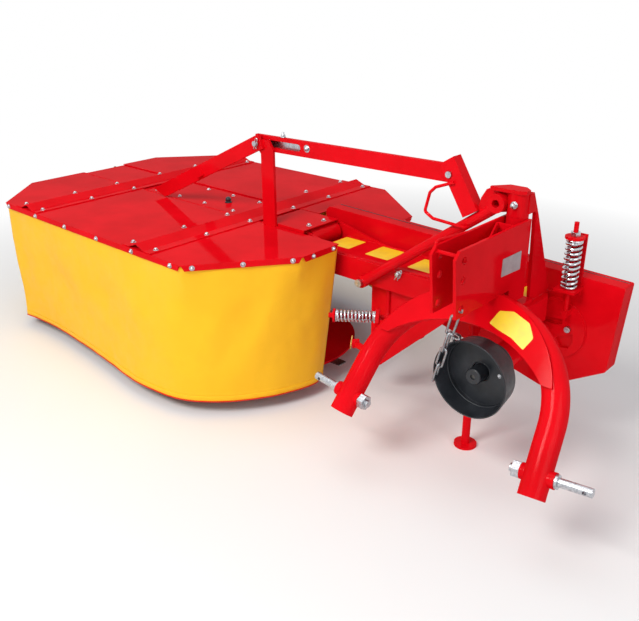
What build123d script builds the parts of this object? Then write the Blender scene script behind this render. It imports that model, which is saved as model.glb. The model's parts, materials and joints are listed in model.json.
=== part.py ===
from build123d import *
from math import atan2, cos, degrees, hypot, pi, radians, sin, sqrt, tan
import os

# Mounted two-drum rotary mower, 1.65 m cut, parked on its skids and its stand.
# Built in the hitch's frame, in millimetres: X across the tractor (the cutter bar runs out to -X),
# Y rearwards from the lower hitch pins, Z up from the ground. The finished model is then moved so
# that the origin lies on the ground under the middle of the whole machine.

# ---------------------------------------------------------------- hitch frame
PIN_HEIGHT = 295.0          # lower hitch pins above the ground when parked
PIN_SPREAD = 825.0          # between the two pin shoulders, category 2
PIN_RADIUS = 14.0
PIN_REACH = 98.0            # pin beyond its shoulder
PIN_SHANK = 13.0            # the pin's thinner part, through the leg
PIN_COLLAR = 22.0           # radius of the collar that makes the shoulder
PIN_COLLAR_LENGTH = 8.0
NUT_ACROSS = 46.0
NUT_LENGTH = 24.0
NUT_STUB = 10.0             # thread beyond the nut
LINCH_RADIUS = 6.0
LINCH_OUT = 78.0
BUSH_RADIUS = 25.0
BUSH_OUT = 14.0             # bush beyond the leg's outside
BUSH_IN = 8.0
BORE_PLAY = 0.3             # a fixed pin in its hole
RUNNING_PLAY = 0.05         # a shaft that turns in its hole
SEAT = 0.3                  # between pieces that move face to face

LEG_RADIUS = 41.0
LEG_WALL = 6.0
LEG_BELOW_PIN = 66.0
LEG_SPLAY = 5.5             # degrees outwards, going down
ARCH_LEAN = 36.87           # degrees from upright, top rearwards
ARCH_TOP_HEIGHT = 650.0
WEB_THICK = 10.0
WEB_TOP_OUT = 28.0          # web's outer edge above the tube's centre line, at the top
WEB_TOP_IN = 91.0           # and its inner edge below it
WEB_TIP_DROP = 201.0        # from the top of the tube's centre line down to the web's two tips
WEB_TIP_OUT = 314.0         # outer and inner corner of a tip, from the middle
WEB_TIP_IN = 279.0

CHEEK_GAP = 70.0
CHEEK_THICK = 10.0
CHEEK_FRONT = 0.0
CHEEK_RAKE = 22.0           # the front edge leans forward by this much at the top
CHEEK_REAR = 411.0
CHEEK_HEIGHT = 211.0        # front part of the cheek, from the top of the arch's tube
CHEEK_CHAMFER = 22.0
TOP_LINK_RADIUS = 12.85
TOP_LINK_Y = 24.0
TOP_LINK_STEPS = (177.0, 117.0, 27.0)   # holes above the cheek's lower edge
CROSS_BAR_RADIUS = 6.0
INSERT_THICK = 6.0
INSERT_LEFT_Y = 332.0
INSERT_RIGHT_Y = 178.0
HANDLE_RADIUS = 5.5
HANDLE_REAR = 262.0

# ---------------------------------------------------------------- swing pivot
PIVOT_Y = 400.0
PIVOT_PIN_RADIUS = 22.0
HEAD_RISE = 6.0             # mast tube above the cheeks
HEAD_HEIGHT = 76.0
CAP_THICK = 12.0
REAR_STAY_X = 26.0
REAR_STAY_THICK = 12.0
STAY_CLEAR = 48.0           # from the pivot's axis to the rear stay, past the cheeks' corners
STAY_FOOT_LENGTH = 150.0
PIVOT_PLATE_HALF = 50.0
PIVOT_PLATE_THICK = 16.0
HEEL_CLEAR = 40.0           # from the beam up to the cheeks' lower edge behind the arch

# ---------------------------------------------------------------- carrier
BEAM_FRONT = 414.0
BEAM_REAR = 622.0
BEAM_BELOW_HINGE = 14.0     # beam's top below the hinge's axis
BEAM_DEPTH = 90.0
BEAM_LEFT = -880.0
BEAM_RIGHT = 62.0
BEAM_WALL = 8.0
BEAM_CORNER_X = 42.0        # cut of the rear right corner, along X and along Y
BEAM_CORNER_Y = 62.0
ARM_THICK = 12.0
HINGE_X = -949.0
HINGE_HEIGHT = 612.0
HINGE_RADIUS = 26.0         # neck of the bevel gearbox in the carrier's arms
HINGE_EYE = 42.0
STAY_RADIUS = 19.0
STAY_Y = 395.0
STAY_TOP_X = -70.0
STAY_TOP_RISE = 23.0        # above the cheeks' top
STAY_FOOT_X = -622.0
STAY_FOOT_DROP = 75.0       # below the beam's top
STAY_PIN_RADIUS = 10.0
STAY_PIN_HEAD = 15.0
STAY_FOOT_EYE = 24.0
EYE_X = -56.0
EYE_RISE = 43.0             # above the cheeks' top
EYE_RADIUS = 31.0
EYE_BORE = 13.0
EYE_LENGTH = 42.0
LEVER_WIDTH = 62.0
LEVER_DEPTH = 44.0
LEVER_WALL = 5.0
LEVER_LEAN = 32.0           # degrees towards the cutter bar
LEVER_LENGTH = 148.0        # below its pin
LEVER_HORN = 46.0           # above its pin
LINK_PIN_X = -246.0
LINK_PIN_RISE = 104.0       # above the cheeks' top

PTO_X = 15.0
PTO_DROP = 87.0             # drive shaft below the beam
PTO_FRONT = 182.0
PTO_STUB = 40.0
PTO_RADIUS = 17.45          # 35 mm six-spline stub
PTO_BODY = 27.0
BEARING_TUBE = 45.0
BEARING_LENGTH = 28.0
BEARING_START = 60.0        # behind the stub's end
BEARING_DISC = 112.0
DISC_OFF_X = 53.0           # disc's centre from the shaft's
DISC_OFF_Z = 34.0
DISC_THICK = 12.0
DISC_PIN_RADIUS = 11.0
SHIELD_RADIUS = 134.0
SHIELD_TAPER = 12.0
SHIELD_BACK = 82.0          # depth of the cup
SHIELD_SLEEVE = 76.0        # radius of the sleeve behind the cup
SHIELD_LENGTH = 154.0
SHIELD_EYE = 34.0
SHIELD_FRONT = 150.0
SHIELD_WALL = 4.0

HOUSING_FRONT = 640.0
HOUSING_DEPTH = 55.0
LID_DEPTH = 20.0
SEAM_WIDTH = 3.0
SEAM_DEPTH = 3.0
HOUSING_LEFT = -1029.0
HOUSING_RIGHT = 290.0

TENSION_X = 113.0
TENSION_Y = 600.0
TENSION_ROD_RADIUS = 8.0
TENSION_LUG = 124.0         # heights above the drive shaft: rod's foot, spring's seat, cap and tip
TENSION_SHELF = 209.0
TENSION_CAP = 385.0
TENSION_TOP = 441.0
SHELF_HALF = 37.0
SHELF_THICK = 10.0
TENSION_CAP_RADIUS = 33.0
TENSION_NUT = 30.0
TENSION_SPRING_RADIUS = 29.0
TENSION_SPRING_BORE = 20.5

STAND_X = -116.0
STAND_Y = 392.0
STAND_RADIUS = 15.0
STAND_FOOT_RADIUS = 42.0
STAND_FOOT_THICK = 10.0
SLEEVE_WALL = 6.0
SLEEVE_DROP = 38.0          # below the beam
SLEEVE_RISE = 27.0          # above it

# ---------------------------------------------------------------- breakaway catch
CATCH_SHARE = 0.565         # how far up the arch the catch sits, as a share of the arch's height
CATCH_OUT = 99.0            # its eye outside the leg's centre line there
CATCH_BEHIND = 64.4         # and behind the arch's plane
CATCH_LENGTH = 161.0
CATCH_TURN = 34.9           # degrees, in plan, that its rod points forwards from -X
CATCH_ROD_RADIUS = 9.0
CATCH_WASHER_RADIUS = 25.0
CATCH_WASHER_THICK = 8.0
CATCH_SPRING_RADIUS = 22.0
CATCH_SPRING_BORE = 14.0
CATCH_EYE_HALF = 6.0        # half the eye plate's thickness
CATCH_TAIL = 60.0
DROP_LEFT = -622.0          # drop plate under the beam, which the catch holds
DROP_TIP = -573.0
DROP_RIGHT = -195.0
DROP_LENGTH = 358.0
DROP_KNEE_X = -300.0
DROP_KNEE = 100.0
DROP_Y = 454.0
DROP_THICK = 10.0
DROP_RIB_X = -390.0
DROP_RIB_LENGTH = 183.0
DROP_RIB_DEPTH = 96.0
DROP_ROD_X = -536.0
DROP_ROD_RADIUS = 7.5
DROP_ROD_LENGTH = 166.0

# ---------------------------------------------------------------- cutter bar
COVER_ABOVE_HINGE = 42.0
SHEET = 4.0
FLANGE = 24.0
FLANGE_GAP = 3.0            # between two flanges at a corner, at the sheet
FLANGE_NOTCH = 16.0         # and each flange's slant cut, at its lower edge
# cover outline seen from above, from the outer front corner round the outside: X, Y
COVER_LEFT = -2541.0
COVER_RIGHT = -735.0
COVER_FRONT = -182.0
COVER_REAR = 1147.0
CUT_OUTER_FRONT = (250.0, 269.0)    # corner cuts, along X and along Y
CUT_INNER_FRONT = (272.0, 364.0)
CUT_OUTER_REAR = (247.0, 287.0)
CUT_INNER_REAR = (363.0, 278.0)
REAR_SHEET_RIGHT = -1070.0          # rear sheet's edge beside the belt housing
REAR_SHEET_STEP = 750.0
STRIP_FRONT = 383.0
STRIP_REAR = 638.0
STRIP_RIGHT = -1120.0
STRIP_LAP = 20.0
HOOD_LEFT = -1145.0
HOOD_PAST_HINGE = 24.0
HOOD_RISE = 12.0
HOOD_FRONT_IN = 3.0
HOOD_REAR_IN = 36.0
DRUM_SPACING = 825.0
DRUM_INNER_X = -1235.0
DRUM_Y = 490.0
GEAR_FRONT = 438.0
GEAR_REAR = 598.0
GEAR_BELOW_HINGE = 72.0
GEAR_ABOVE_HINGE = 30.0
GEAR_OVERRUN = 190.0        # gear beam beyond the outer drum's axis
RIDGE_XS = (-1276.0, -2106.0)
RIDGE_HALF = 90.0
RIDGE_CREST = 50.0          # half the width of the raised middle
RIDGE_HEIGHT = 24.0
RIDGE_END = 4.0
DISC_RADIUS = 385.0
DISC_BOTTOM = 64.0
DISC_EDGE = 10.0
BARREL_RADIUS = 178.0
KNIFE_RADIUS = 432.0
KNIFE_WIDTH = 48.0
KNIFE_THICK = 4.0
SKID_RADIUS = 300.0
SKID_HEIGHT = 44.0
SKID_WALL = 5.0
SKID_HUB = 60.0
SKID_HUB_TOP = 54.0
SKID_STUB = 16.0
SHAFT_RADIUS = 28.0
CANVAS_THICK = 4.0
CANVAS_HEM = 62.0
CANVAS_REAR_HEM = 150.0

LINK_HEIGHT = 62.0
LINK_THICK = 16.0
APEX_X = -1156.0
APEX_RISE = 338.0           # above the cover
APEX_PIN_RADIUS = 11.0
SLOT_TRAVEL = 204.0         # between the slot's two end centres
SLOT_PLAY = 4.0             # above and below the pin
POST_WIDTH = 70.0
POST_X = -1109.0
BAR_THICK = 12.0
BAR_PLAY = 3.0              # between the link and the post
BRACE_HALF = 30.0
BRACE_TOE = 62.0
BRACE_FOOT_X = -1812.0

# heights that follow from the ones above
CHEEK_BOTTOM = ARCH_TOP_HEIGHT + LEG_RADIUS
CHEEK_TOP = CHEEK_BOTTOM + CHEEK_HEIGHT
TOP_LINK_HEIGHTS = [CHEEK_BOTTOM + step for step in TOP_LINK_STEPS]
BEAM_TOP = HINGE_HEIGHT - BEAM_BELOW_HINGE
BEAM_BOTTOM = BEAM_TOP - BEAM_DEPTH
CHEEK_HEEL = BEAM_TOP + HEEL_CLEAR
PTO_HEIGHT = BEAM_BOTTOM - PTO_DROP
COVER_TOP = HINGE_HEIGHT + COVER_ABOVE_HINGE
GEAR_BOTTOM = HINGE_HEIGHT - GEAR_BELOW_HINGE
GEAR_TOP = HINGE_HEIGHT + GEAR_ABOVE_HINGE
STAY_TOP = (STAY_TOP_X, CHEEK_TOP + STAY_TOP_RISE)
STAY_FOOT = (STAY_FOOT_X, BEAM_TOP - STAY_FOOT_DROP)
LINK_PIN = (LINK_PIN_X, CHEEK_TOP + LINK_PIN_RISE)
APEX = (APEX_X, COVER_TOP + APEX_RISE)
# belt housing's outline: X, Z and corner radius
HOUSING_OUTLINE = (
    (HOUSING_LEFT, HINGE_HEIGHT + 86.0, 30.0),
    (HOUSING_RIGHT, PTO_HEIGHT + 238.0, 6.0),
    (HOUSING_RIGHT - 22.0, PTO_HEIGHT - 81.0, 12.0),
    (PTO_X + 29.0, PTO_HEIGHT - 218.0, 40.0),
    (HOUSING_LEFT, HINGE_HEIGHT - 132.0, 40.0),
)

NODES = {}


def side(x):
    """Plane facing +X: its own coordinates are Y and Z."""
    return Plane(origin=(x, 0, 0), x_dir=(0, 1, 0), z_dir=(1, 0, 0))


def front(y):
    """Plane facing -Y: its own coordinates are X and Z."""
    return Plane(origin=(0, y, 0), x_dir=(1, 0, 0), z_dir=(0, -1, 0))


def level(z):
    """Plane facing up: its own coordinates are X and Y."""
    return Plane(origin=(0, 0, z))


def plate(plane, outline, thick):
    """Straight-edged plate on a plane, thickened along the plane's normal."""
    face = make_face(Polyline(*outline, close=True))
    return extrude(plane * face, amount=thick, dir=plane.z_dir)


def block(x0, x1, y0, y1, z0, z1):
    return Pos((x0 + x1) / 2, (y0 + y1) / 2, (z0 + z1) / 2) * Box(x1 - x0, y1 - y0, z1 - z0)


def rod(a, b, radius):
    a, b = Vector(*a), Vector(*b)
    return extrude(Plane(origin=a, z_dir=b - a) * Circle(radius), amount=(b - a).length)


def tube(a, b, radius, bore):
    return rod(a, b, radius) - rod(a, b, bore)


def bent_rod(points, radius, bend):
    path = FilletPolyline(*points, radius=bend)
    return sweep(Plane(origin=path @ 0, z_dir=path % 0) * Circle(radius), path=path)


def hex_prism(a, b, across):
    a, b = Vector(*a), Vector(*b)
    hexagon = RegularPolygon(across / 2, 6, major_radius=False)
    return extrude(Plane(origin=a, z_dir=b - a) * hexagon, amount=(b - a).length)


def mirror_x(shape):
    return mirror(shape, about=Plane.YZ)


# ---------------------------------------------------------------- hitch frame
lean, splay = radians(ARCH_LEAN), radians(LEG_SPLAY)
ARCH = Plane(origin=(0, 0, PIN_HEIGHT), x_dir=(1, 0, 0), z_dir=(0, -cos(lean), sin(lean)))
arch_top = (ARCH_TOP_HEIGHT - PIN_HEIGHT) / cos(lean)
pin_leg_x = PIN_SPREAD / 2 - (LEG_RADIUS + BUSH_OUT + PIN_COLLAR_LENGTH) * cos(splay)
# the arch is one arc, and each leg is its tangent, LEG_SPLAY from upright
arch_radius = (pin_leg_x - arch_top * tan(splay)) / (1 / cos(splay) - tan(splay))
arch_centre = arch_top - arch_radius


def arch_path():
    tangent = (arch_radius * cos(splay), arch_centre + arch_radius * sin(splay))
    drop = (tangent[1] + LEG_BELOW_PIN) / cos(splay)
    foot = (tangent[0] + drop * sin(splay), tangent[1] - drop * cos(splay))
    run = Polyline((-foot[0], foot[1]), (-tangent[0], tangent[1]))
    over = ThreePointArc((-tangent[0], tangent[1]), (0, arch_top), tangent)
    back = Polyline(tangent, foot)
    return ARCH * (Curve() + [run, over, back])


def arch_tube(radius):
    path = arch_path()
    return sweep(Plane(origin=path @ 0, z_dir=path % 0) * Circle(radius), path=path)


def along_pin(t, away=1):
    """A point on the right (+X) pin's line, t outwards from the leg's centre line."""
    p = ARCH.from_local_coords((pin_leg_x + t * cos(splay), t * sin(splay), 0))
    return (away * p.X, p.Y, p.Z)


ARCH_SOLID = arch_tube(LEG_RADIUS)
bush_out = LEG_RADIUS + BUSH_OUT
bush_in = -LEG_RADIUS - BUSH_IN
bushes = [rod(along_pin(bush_in, s), along_pin(bush_out, s), BUSH_RADIUS) for s in (1, -1)]
bores = [rod(along_pin(bush_in - 1, s), along_pin(bush_out + 1, s), PIN_SHANK + BORE_PLAY) for s in (1, -1)]
arch = ARCH_SOLID - arch_tube(LEG_RADIUS - LEG_WALL)
for bush in bushes:
    arch = arch + bush
for bore in bores:
    arch = arch - bore
NODES["hitch_arch"] = arch

for name, s in (("left", -1), ("right", 1)):
    shoulder = bush_out + PIN_COLLAR_LENGTH
    nut_end = bush_in - NUT_LENGTH
    pin = rod(along_pin(nut_end - NUT_STUB, s), along_pin(bush_out, s), PIN_SHANK)
    pin = pin + rod(along_pin(bush_out, s), along_pin(shoulder, s), PIN_COLLAR)
    pin = pin + rod(along_pin(shoulder, s), along_pin(shoulder + PIN_REACH, s), PIN_RADIUS)
    pin = pin + hex_prism(along_pin(nut_end, s), along_pin(bush_in, s), NUT_ACROSS)
    hole = Vector(*along_pin(shoulder + LINCH_OUT, s))
    through = Vector(0, PIN_RADIUS + 1, 0)
    pin = pin - rod(hole + through, hole - through, LINCH_RADIUS)
    NODES[f"hitch_pin_{name}"] = pin


def web_outline():
    """Crescent web in the arch's plane: an outer and an inner arc between its two tips."""
    tip = arch_top - WEB_TIP_DROP
    over = ThreePointArc((-WEB_TIP_OUT, tip), (0, arch_top + WEB_TOP_OUT), (WEB_TIP_OUT, tip))
    under = ThreePointArc((WEB_TIP_IN, tip), (0, arch_top - WEB_TOP_IN), (-WEB_TIP_IN, tip))
    return make_face(Curve() + [over, Line(over @ 1, under @ 0), under, Line(under @ 1, over @ 0)])


web_plane = ARCH.offset(LEG_RADIUS)
NODES["arch_web"] = extrude(web_plane * web_outline(), amount=WEB_THICK, dir=web_plane.z_dir)

half_gap = CHEEK_GAP / 2
head_radius = half_gap      # the mast tube fills the gap between the cheeks
arch_y = (ARCH_TOP_HEIGHT - PIN_HEIGHT) * tan(lean)
cheek_outline = (
    (CHEEK_FRONT, CHEEK_BOTTOM),
    (arch_y + LEG_RADIUS, CHEEK_BOTTOM),
    (arch_y + LEG_RADIUS, CHEEK_HEEL),
    (CHEEK_REAR, CHEEK_HEEL),
    (CHEEK_REAR, CHEEK_TOP),
    (CHEEK_FRONT - CHEEK_RAKE + CHEEK_CHAMFER, CHEEK_TOP),
    (CHEEK_FRONT - CHEEK_RAKE, CHEEK_TOP - CHEEK_CHAMFER),
)
cheek = plate(side(half_gap), cheek_outline, CHEEK_THICK)
for height in TOP_LINK_HEIGHTS:
    cheek = cheek - rod((half_gap - 1, TOP_LINK_Y, height), (half_gap + CHEEK_THICK + 1, TOP_LINK_Y, height),
                        TOP_LINK_RADIUS)
cheek = cheek - ARCH_SOLID - NODES["arch_web"]
NODES["mast_cheek_right"] = cheek
NODES["mast_cheek_left"] = mirror_x(cheek)

mast_tube_top = CHEEK_TOP + HEAD_RISE
NODES["mast_tube"] = tube((0, PIVOT_Y, CHEEK_HEEL), (0, PIVOT_Y, mast_tube_top), head_radius,
                          PIVOT_PIN_RADIUS + RUNNING_PLAY)
bar_y, bar_z = CHEEK_FRONT + CROSS_BAR_RADIUS, CHEEK_TOP - 3 * CROSS_BAR_RADIUS
NODES["mast_cross_bar"] = rod((-half_gap, bar_y, bar_z), (half_gap, bar_y, bar_z), CROSS_BAR_RADIUS)
insert_edge = half_gap - INSERT_THICK / 2
insert_line = FilletPolyline(
    (insert_edge, INSERT_RIGHT_Y),
    (-insert_edge, INSERT_LEFT_Y),
    (insert_edge, INSERT_LEFT_Y),
    radius=INSERT_THICK,
)
insert_bottom = max(CHEEK_BOTTOM, CHEEK_HEEL) + INSERT_THICK
insert_height = CHEEK_TOP - INSERT_THICK - insert_bottom
insert = extrude(level(insert_bottom) * trace(insert_line, INSERT_THICK), amount=insert_height)
NODES["mast_insert"] = insert - NODES["arch_web"]
rail_x = -half_gap - CHEEK_THICK - HANDLE_RADIUS
NODES["mast_handle"] = bent_rod(
    (
        (rail_x, HANDLE_REAR, CHEEK_TOP - 3 * HANDLE_RADIUS),
        (rail_x, CHEEK_FRONT + CHEEK_RAKE, CHEEK_TOP + HANDLE_RADIUS),
        (rail_x, CHEEK_FRONT + HANDLE_RADIUS, CHEEK_TOP - 2 * CHEEK_CHAMFER),
    ),
    HANDLE_RADIUS,
    2 * HANDLE_RADIUS,
)

# ---------------------------------------------------------------- carrier: head, stay and lever
head_bottom = mast_tube_top + SEAT
head_top = head_bottom + HEAD_HEIGHT
cap_top = head_top + CAP_THICK
# the head's cap from above: X, and Y from the pivot
CAP_OUTLINE = (
    (-85.0, -27.0), (-45.0, 23.0), (12.0, 24.0), (38.0, 0.0), (38.0, -24.0), (20.0, -36.0), (-85.0, -36.0),
)
# the arm under it from the front: X, and Z from the cap's top
ARM_OUTLINE = (
    (0.0, -12.0), (-85.0, -12.0), (-110.0, -19.0), (-128.0, -50.0), (-136.0, -90.0), (-110.0, -98.0),
    (-30.0, -80.0), (0.0, -80.0),
)
head = rod((0, PIVOT_Y, head_bottom), (0, PIVOT_Y, head_top), head_radius)
head = head + rod((0, PIVOT_Y, BEAM_TOP), (0, PIVOT_Y, head_bottom), PIVOT_PIN_RADIUS)
head = head + plate(level(head_top), [(x, PIVOT_Y + y) for x, y in CAP_OUTLINE], CAP_THICK)
head = head + plate(front(STAY_Y + 8), [(x, cap_top + z) for x, z in ARM_OUTLINE], 16)
NODES["carrier_head"] = head

foot_x, foot_z = STAY_FOOT
stay = rod((STAY_TOP[0], STAY_Y, STAY_TOP[1]), (foot_x, STAY_Y, foot_z), STAY_RADIUS)
stay = stay + rod((foot_x, STAY_Y - 12, foot_z), (foot_x, STAY_Y + 12, foot_z), STAY_FOOT_EYE)
stay = stay - NODES["carrier_head"]
eye_z = CHEEK_TOP + EYE_RISE
eye_front = STAY_Y - EYE_LENGTH
eye = rod((EYE_X, eye_front, eye_z), (EYE_X, STAY_Y - 8, eye_z), EYE_RADIUS)
eye = eye - rod((EYE_X, eye_front - 1, eye_z), (EYE_X, STAY_Y - 7, eye_z), EYE_BORE)
NODES["stay_eye"] = eye - stay - NODES["carrier_head"]
stay = stay - rod((foot_x, STAY_Y - 30, foot_z), (foot_x, STAY_Y + 30, foot_z), STAY_PIN_RADIUS + BORE_PLAY)
NODES["stay_tube"] = stay
pin_seat = STAY_Y - STAY_RADIUS
stay_pin = rod((foot_x, pin_seat - 12, foot_z), (foot_x, BEAM_FRONT, foot_z), STAY_PIN_RADIUS)
stay_pin = stay_pin + rod((foot_x, pin_seat - 12, foot_z), (foot_x, pin_seat, foot_z), STAY_PIN_HEAD)
NODES["stay_pin"] = stay_pin

# lever: a box-section upright on the stay, open towards the link at its top
tilt = radians(LEVER_LEAN)
lever_up = Vector(-sin(tilt), 0, cos(tilt))
lever_across = Vector(cos(tilt), 0, sin(tilt))
lever_pin = Vector(LINK_PIN[0], STAY_Y, LINK_PIN[1])
LEVER = Plane(origin=lever_pin + lever_across * 12, x_dir=lever_across, z_dir=lever_up)
lever = extrude(LEVER * Rectangle(LEVER_WIDTH, LEVER_DEPTH), amount=-LEVER_LENGTH, dir=lever_up)
lever = lever + extrude(LEVER * Rectangle(LEVER_WIDTH, LEVER_DEPTH), amount=LEVER_HORN, dir=lever_up)
inner = Rectangle(LEVER_WIDTH, LEVER_DEPTH - 2 * LEVER_WALL)
slot_plane = Plane(origin=LEVER.origin - lever_across * LEVER_WALL, x_dir=lever_across, z_dir=lever_up)
lever = lever - extrude(slot_plane * inner, amount=LEVER_HORN + 1, dir=lever_up)
lever = lever - extrude(slot_plane * inner, amount=-LEVER_WIDTH, dir=lever_up)
lever = lever - rod((LINK_PIN[0], STAY_Y - 40, LINK_PIN[1]), (LINK_PIN[0], STAY_Y + 40, LINK_PIN[1]),
                    APEX_PIN_RADIUS + BORE_PLAY)
NODES["lift_lever"] = lever - NODES["stay_tube"] - NODES["carrier_head"]
# hand loop: X, and Z from the link's pin
LOOP_POINTS = (
    (-222.0, -22.0), (-292.0, -49.0), (-314.0, -71.0), (-331.0, -140.0), (-297.0, -159.0), (-168.0, -166.0),
)
loop_y = STAY_Y - LEVER_DEPTH / 2 - HANDLE_RADIUS - SEAT
loop = [(x, loop_y, LINK_PIN[1] + z) for x, z in LOOP_POINTS]
loop.append((LOOP_POINTS[-1][0] + HANDLE_RADIUS, STAY_Y, LINK_PIN[1] + LOOP_POINTS[-1][1]))
NODES["lever_loop"] = bent_rod(loop, HANDLE_RADIUS, 2 * HANDLE_RADIUS) - NODES["stay_tube"]

# ---------------------------------------------------------------- carrier: beam and hinge arms
web_front, web_rear = BEAM_FRONT + ARM_THICK, BEAM_REAR - ARM_THICK
corner_start = BEAM_REAR - BEAM_CORNER_Y


def beam_end(y, inset=0.0):
    """X of the beam's right end at a distance back, where its rear corner is cut off."""
    return BEAM_RIGHT - inset - max(0.0, y - corner_start) * BEAM_CORNER_X / BEAM_CORNER_Y


def beam_plan(y0, y1, inset):
    return (
        (BEAM_LEFT, y0), (BEAM_RIGHT - inset, y0), (BEAM_RIGHT - inset, corner_start),
        (beam_end(y1, inset), y1), (BEAM_LEFT, y1),
    )


beam = plate(level(BEAM_BOTTOM), beam_plan(web_front, web_rear, 0.0), BEAM_DEPTH)
hollow = plate(level(BEAM_BOTTOM + BEAM_WALL), beam_plan(web_front - 1, web_rear + 1, BEAM_WALL),
               BEAM_DEPTH - 2 * BEAM_WALL)
NODES["carrier_beam"] = beam - hollow


def side_plate(y0, y1, upstand):
    """Side of the beam, running on past it as one arm of the cutter bar's hinge."""
    outline = (
        (BEAM_RIGHT, BEAM_BOTTOM), (BEAM_RIGHT, BEAM_TOP), (BEAM_LEFT + upstand, BEAM_TOP),
        (BEAM_LEFT + 12, HINGE_HEIGHT + HINGE_EYE - 18), (HINGE_X, HINGE_HEIGHT + HINGE_EYE),
        (HINGE_X, HINGE_HEIGHT - HINGE_EYE), (BEAM_LEFT, BEAM_BOTTOM),
    )
    arm = plate(front(y1), outline, y1 - y0)
    arm = arm + rod((HINGE_X, y0, HINGE_HEIGHT), (HINGE_X, y1, HINGE_HEIGHT), HINGE_EYE)
    return arm - rod((HINGE_X, y0 - 1, HINGE_HEIGHT), (HINGE_X, y1 + 1, HINGE_HEIGHT),
                     HINGE_RADIUS + RUNNING_PLAY)


NODES["beam_side_front"] = side_plate(BEAM_FRONT, web_front, 40)
corner_cut = (
    (beam_end(web_rear - 1), web_rear - 1), (BEAM_RIGHT + 1, web_rear - 1), (BEAM_RIGHT + 1, BEAM_REAR + 1),
    (beam_end(BEAM_REAR + 1), BEAM_REAR + 1),
)
rear_side = side_plate(web_rear, BEAM_REAR, 190)
NODES["beam_side_rear"] = rear_side - plate(level(BEAM_BOTTOM - 1), corner_cut, BEAM_DEPTH + 2)

stay_foot_y = BEAM_REAR - STAY_FOOT_LENGTH
seat_top = BEAM_TOP + PIVOT_PLATE_THICK
half_seat = PIVOT_PLATE_HALF
pivot_plate = rod((0, PIVOT_Y, BEAM_TOP), (0, PIVOT_Y, seat_top), half_seat)
pivot_plate = pivot_plate + block(-half_seat, half_seat, PIVOT_Y, stay_foot_y - 3, BEAM_TOP, seat_top)
NODES["pivot_plate"] = pivot_plate - rod((0, PIVOT_Y, BEAM_TOP - 1), (0, PIVOT_Y, seat_top + 1),
                                         PIVOT_PIN_RADIUS + BORE_PLAY)
rear_stay = plate(
    side(REAR_STAY_X),
    ((PIVOT_Y, CHEEK_TOP + 16), (PIVOT_Y, head_top), (PIVOT_Y + 26, head_top), (PIVOT_Y + 70, CHEEK_TOP),
     (BEAM_REAR - 10, BEAM_TOP), (stay_foot_y, BEAM_TOP), (PIVOT_Y + STAY_CLEAR, CHEEK_TOP + 16)),
    REAR_STAY_THICK,
)
NODES["rear_stay"] = rear_stay - NODES["carrier_head"]

# ---------------------------------------------------------------- carrier: belt drive
corners = [(x, z) for x, z, r in HOUSING_OUTLINE]


def housing_face(grow):
    face = make_face(Polyline(*corners, close=True))
    for x, z, r in HOUSING_OUTLINE:
        corner = face.vertices().sort_by_distance((x, z, 0))[0]
        face = fillet(corner, r)
    return offset(face, amount=grow) if grow else face


tray_back = HOUSING_FRONT + HOUSING_DEPTH
NODES["belt_housing"] = extrude(front(tray_back) * housing_face(0), amount=HOUSING_DEPTH, dir=(0, -1, 0))
lid_back = tray_back + LID_DEPTH
lid = extrude(front(lid_back) * housing_face(0), amount=LID_DEPTH - SEAM_WIDTH, dir=(0, -1, 0))
seam = extrude(front(tray_back + SEAM_WIDTH) * housing_face(-SEAM_DEPTH), amount=SEAM_WIDTH, dir=(0, -1, 0))
NODES["belt_lid"] = lid + seam

bearing_front = PTO_FRONT + BEARING_START


def round_shaft(y0, y1, radius):
    return rod((PTO_X, y0, PTO_HEIGHT), (PTO_X, y1, PTO_HEIGHT), radius)


bearing = round_shaft(bearing_front, HOUSING_FRONT, BEARING_TUBE) - round_shaft(
    bearing_front + BEARING_LENGTH, HOUSING_FRONT - BEARING_LENGTH, PTO_BODY + 5)
NODES["bearing_tube"] = bearing - round_shaft(bearing_front, HOUSING_FRONT, PTO_BODY + RUNNING_PLAY)

# bearing disc, cranked about the shaft; its arm and windows: X and Z from the shaft
DISC_ARM = ((-21.0, 68.0), (11.0, 136.0), (37.0, 143.0), (108.0, 110.0))
DISC_WINDOWS = (
    ((2.0, 69.0), (79.0, 73.0), (81.0, 58.0), (63.0, 48.0), (4.0, 49.0)),
    ((62.0, 0.0), (123.0, 29.0), (127.0, -2.0), (112.0, -30.0), (83.0, -34.0)),
)


def from_shaft(outline):
    return [(PTO_X + x, PTO_HEIGHT + z) for x, z in outline]


disc_x, disc_z = PTO_X + DISC_OFF_X, PTO_HEIGHT + DISC_OFF_Z
disc_front = HOUSING_FRONT - DISC_THICK
lug_top = PTO_HEIGHT + TENSION_LUG
disc = rod((disc_x, disc_front, disc_z), (disc_x, HOUSING_FRONT, disc_z), BEARING_DISC)
disc = disc + plate(front(HOUSING_FRONT), from_shaft(DISC_ARM), DISC_THICK)
for window in DISC_WINDOWS:
    disc = disc - plate(front(HOUSING_FRONT + 1), from_shaft(window), DISC_THICK + 2)
disc = disc - round_shaft(disc_front - 1, HOUSING_FRONT + 1, BEARING_TUBE)
disc = disc + block(TENSION_X - 9, TENSION_X + 9, TENSION_Y - 10, disc_front, lug_top - 24, lug_top)
pin_x, pin_z = PTO_X + 104, PTO_HEIGHT + 44
disc = disc - rod((pin_x, disc_front - 1, pin_z), (pin_x, HOUSING_FRONT + 1, pin_z),
                  DISC_PIN_RADIUS + BORE_PLAY)
NODES["bearing_disc"] = disc
NODES["disc_pin"] = rod((pin_x, disc_front - 10, pin_z), (pin_x, HOUSING_FRONT, pin_z), DISC_PIN_RADIUS)
saddle = block(PTO_X - 30, PTO_X + 30, BEAM_FRONT + 30, corner_start, PTO_HEIGHT, BEAM_BOTTOM)
NODES["bearing_saddle"] = saddle - round_shaft(BEAM_FRONT, BEAM_REAR, BEARING_TUBE)

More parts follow.
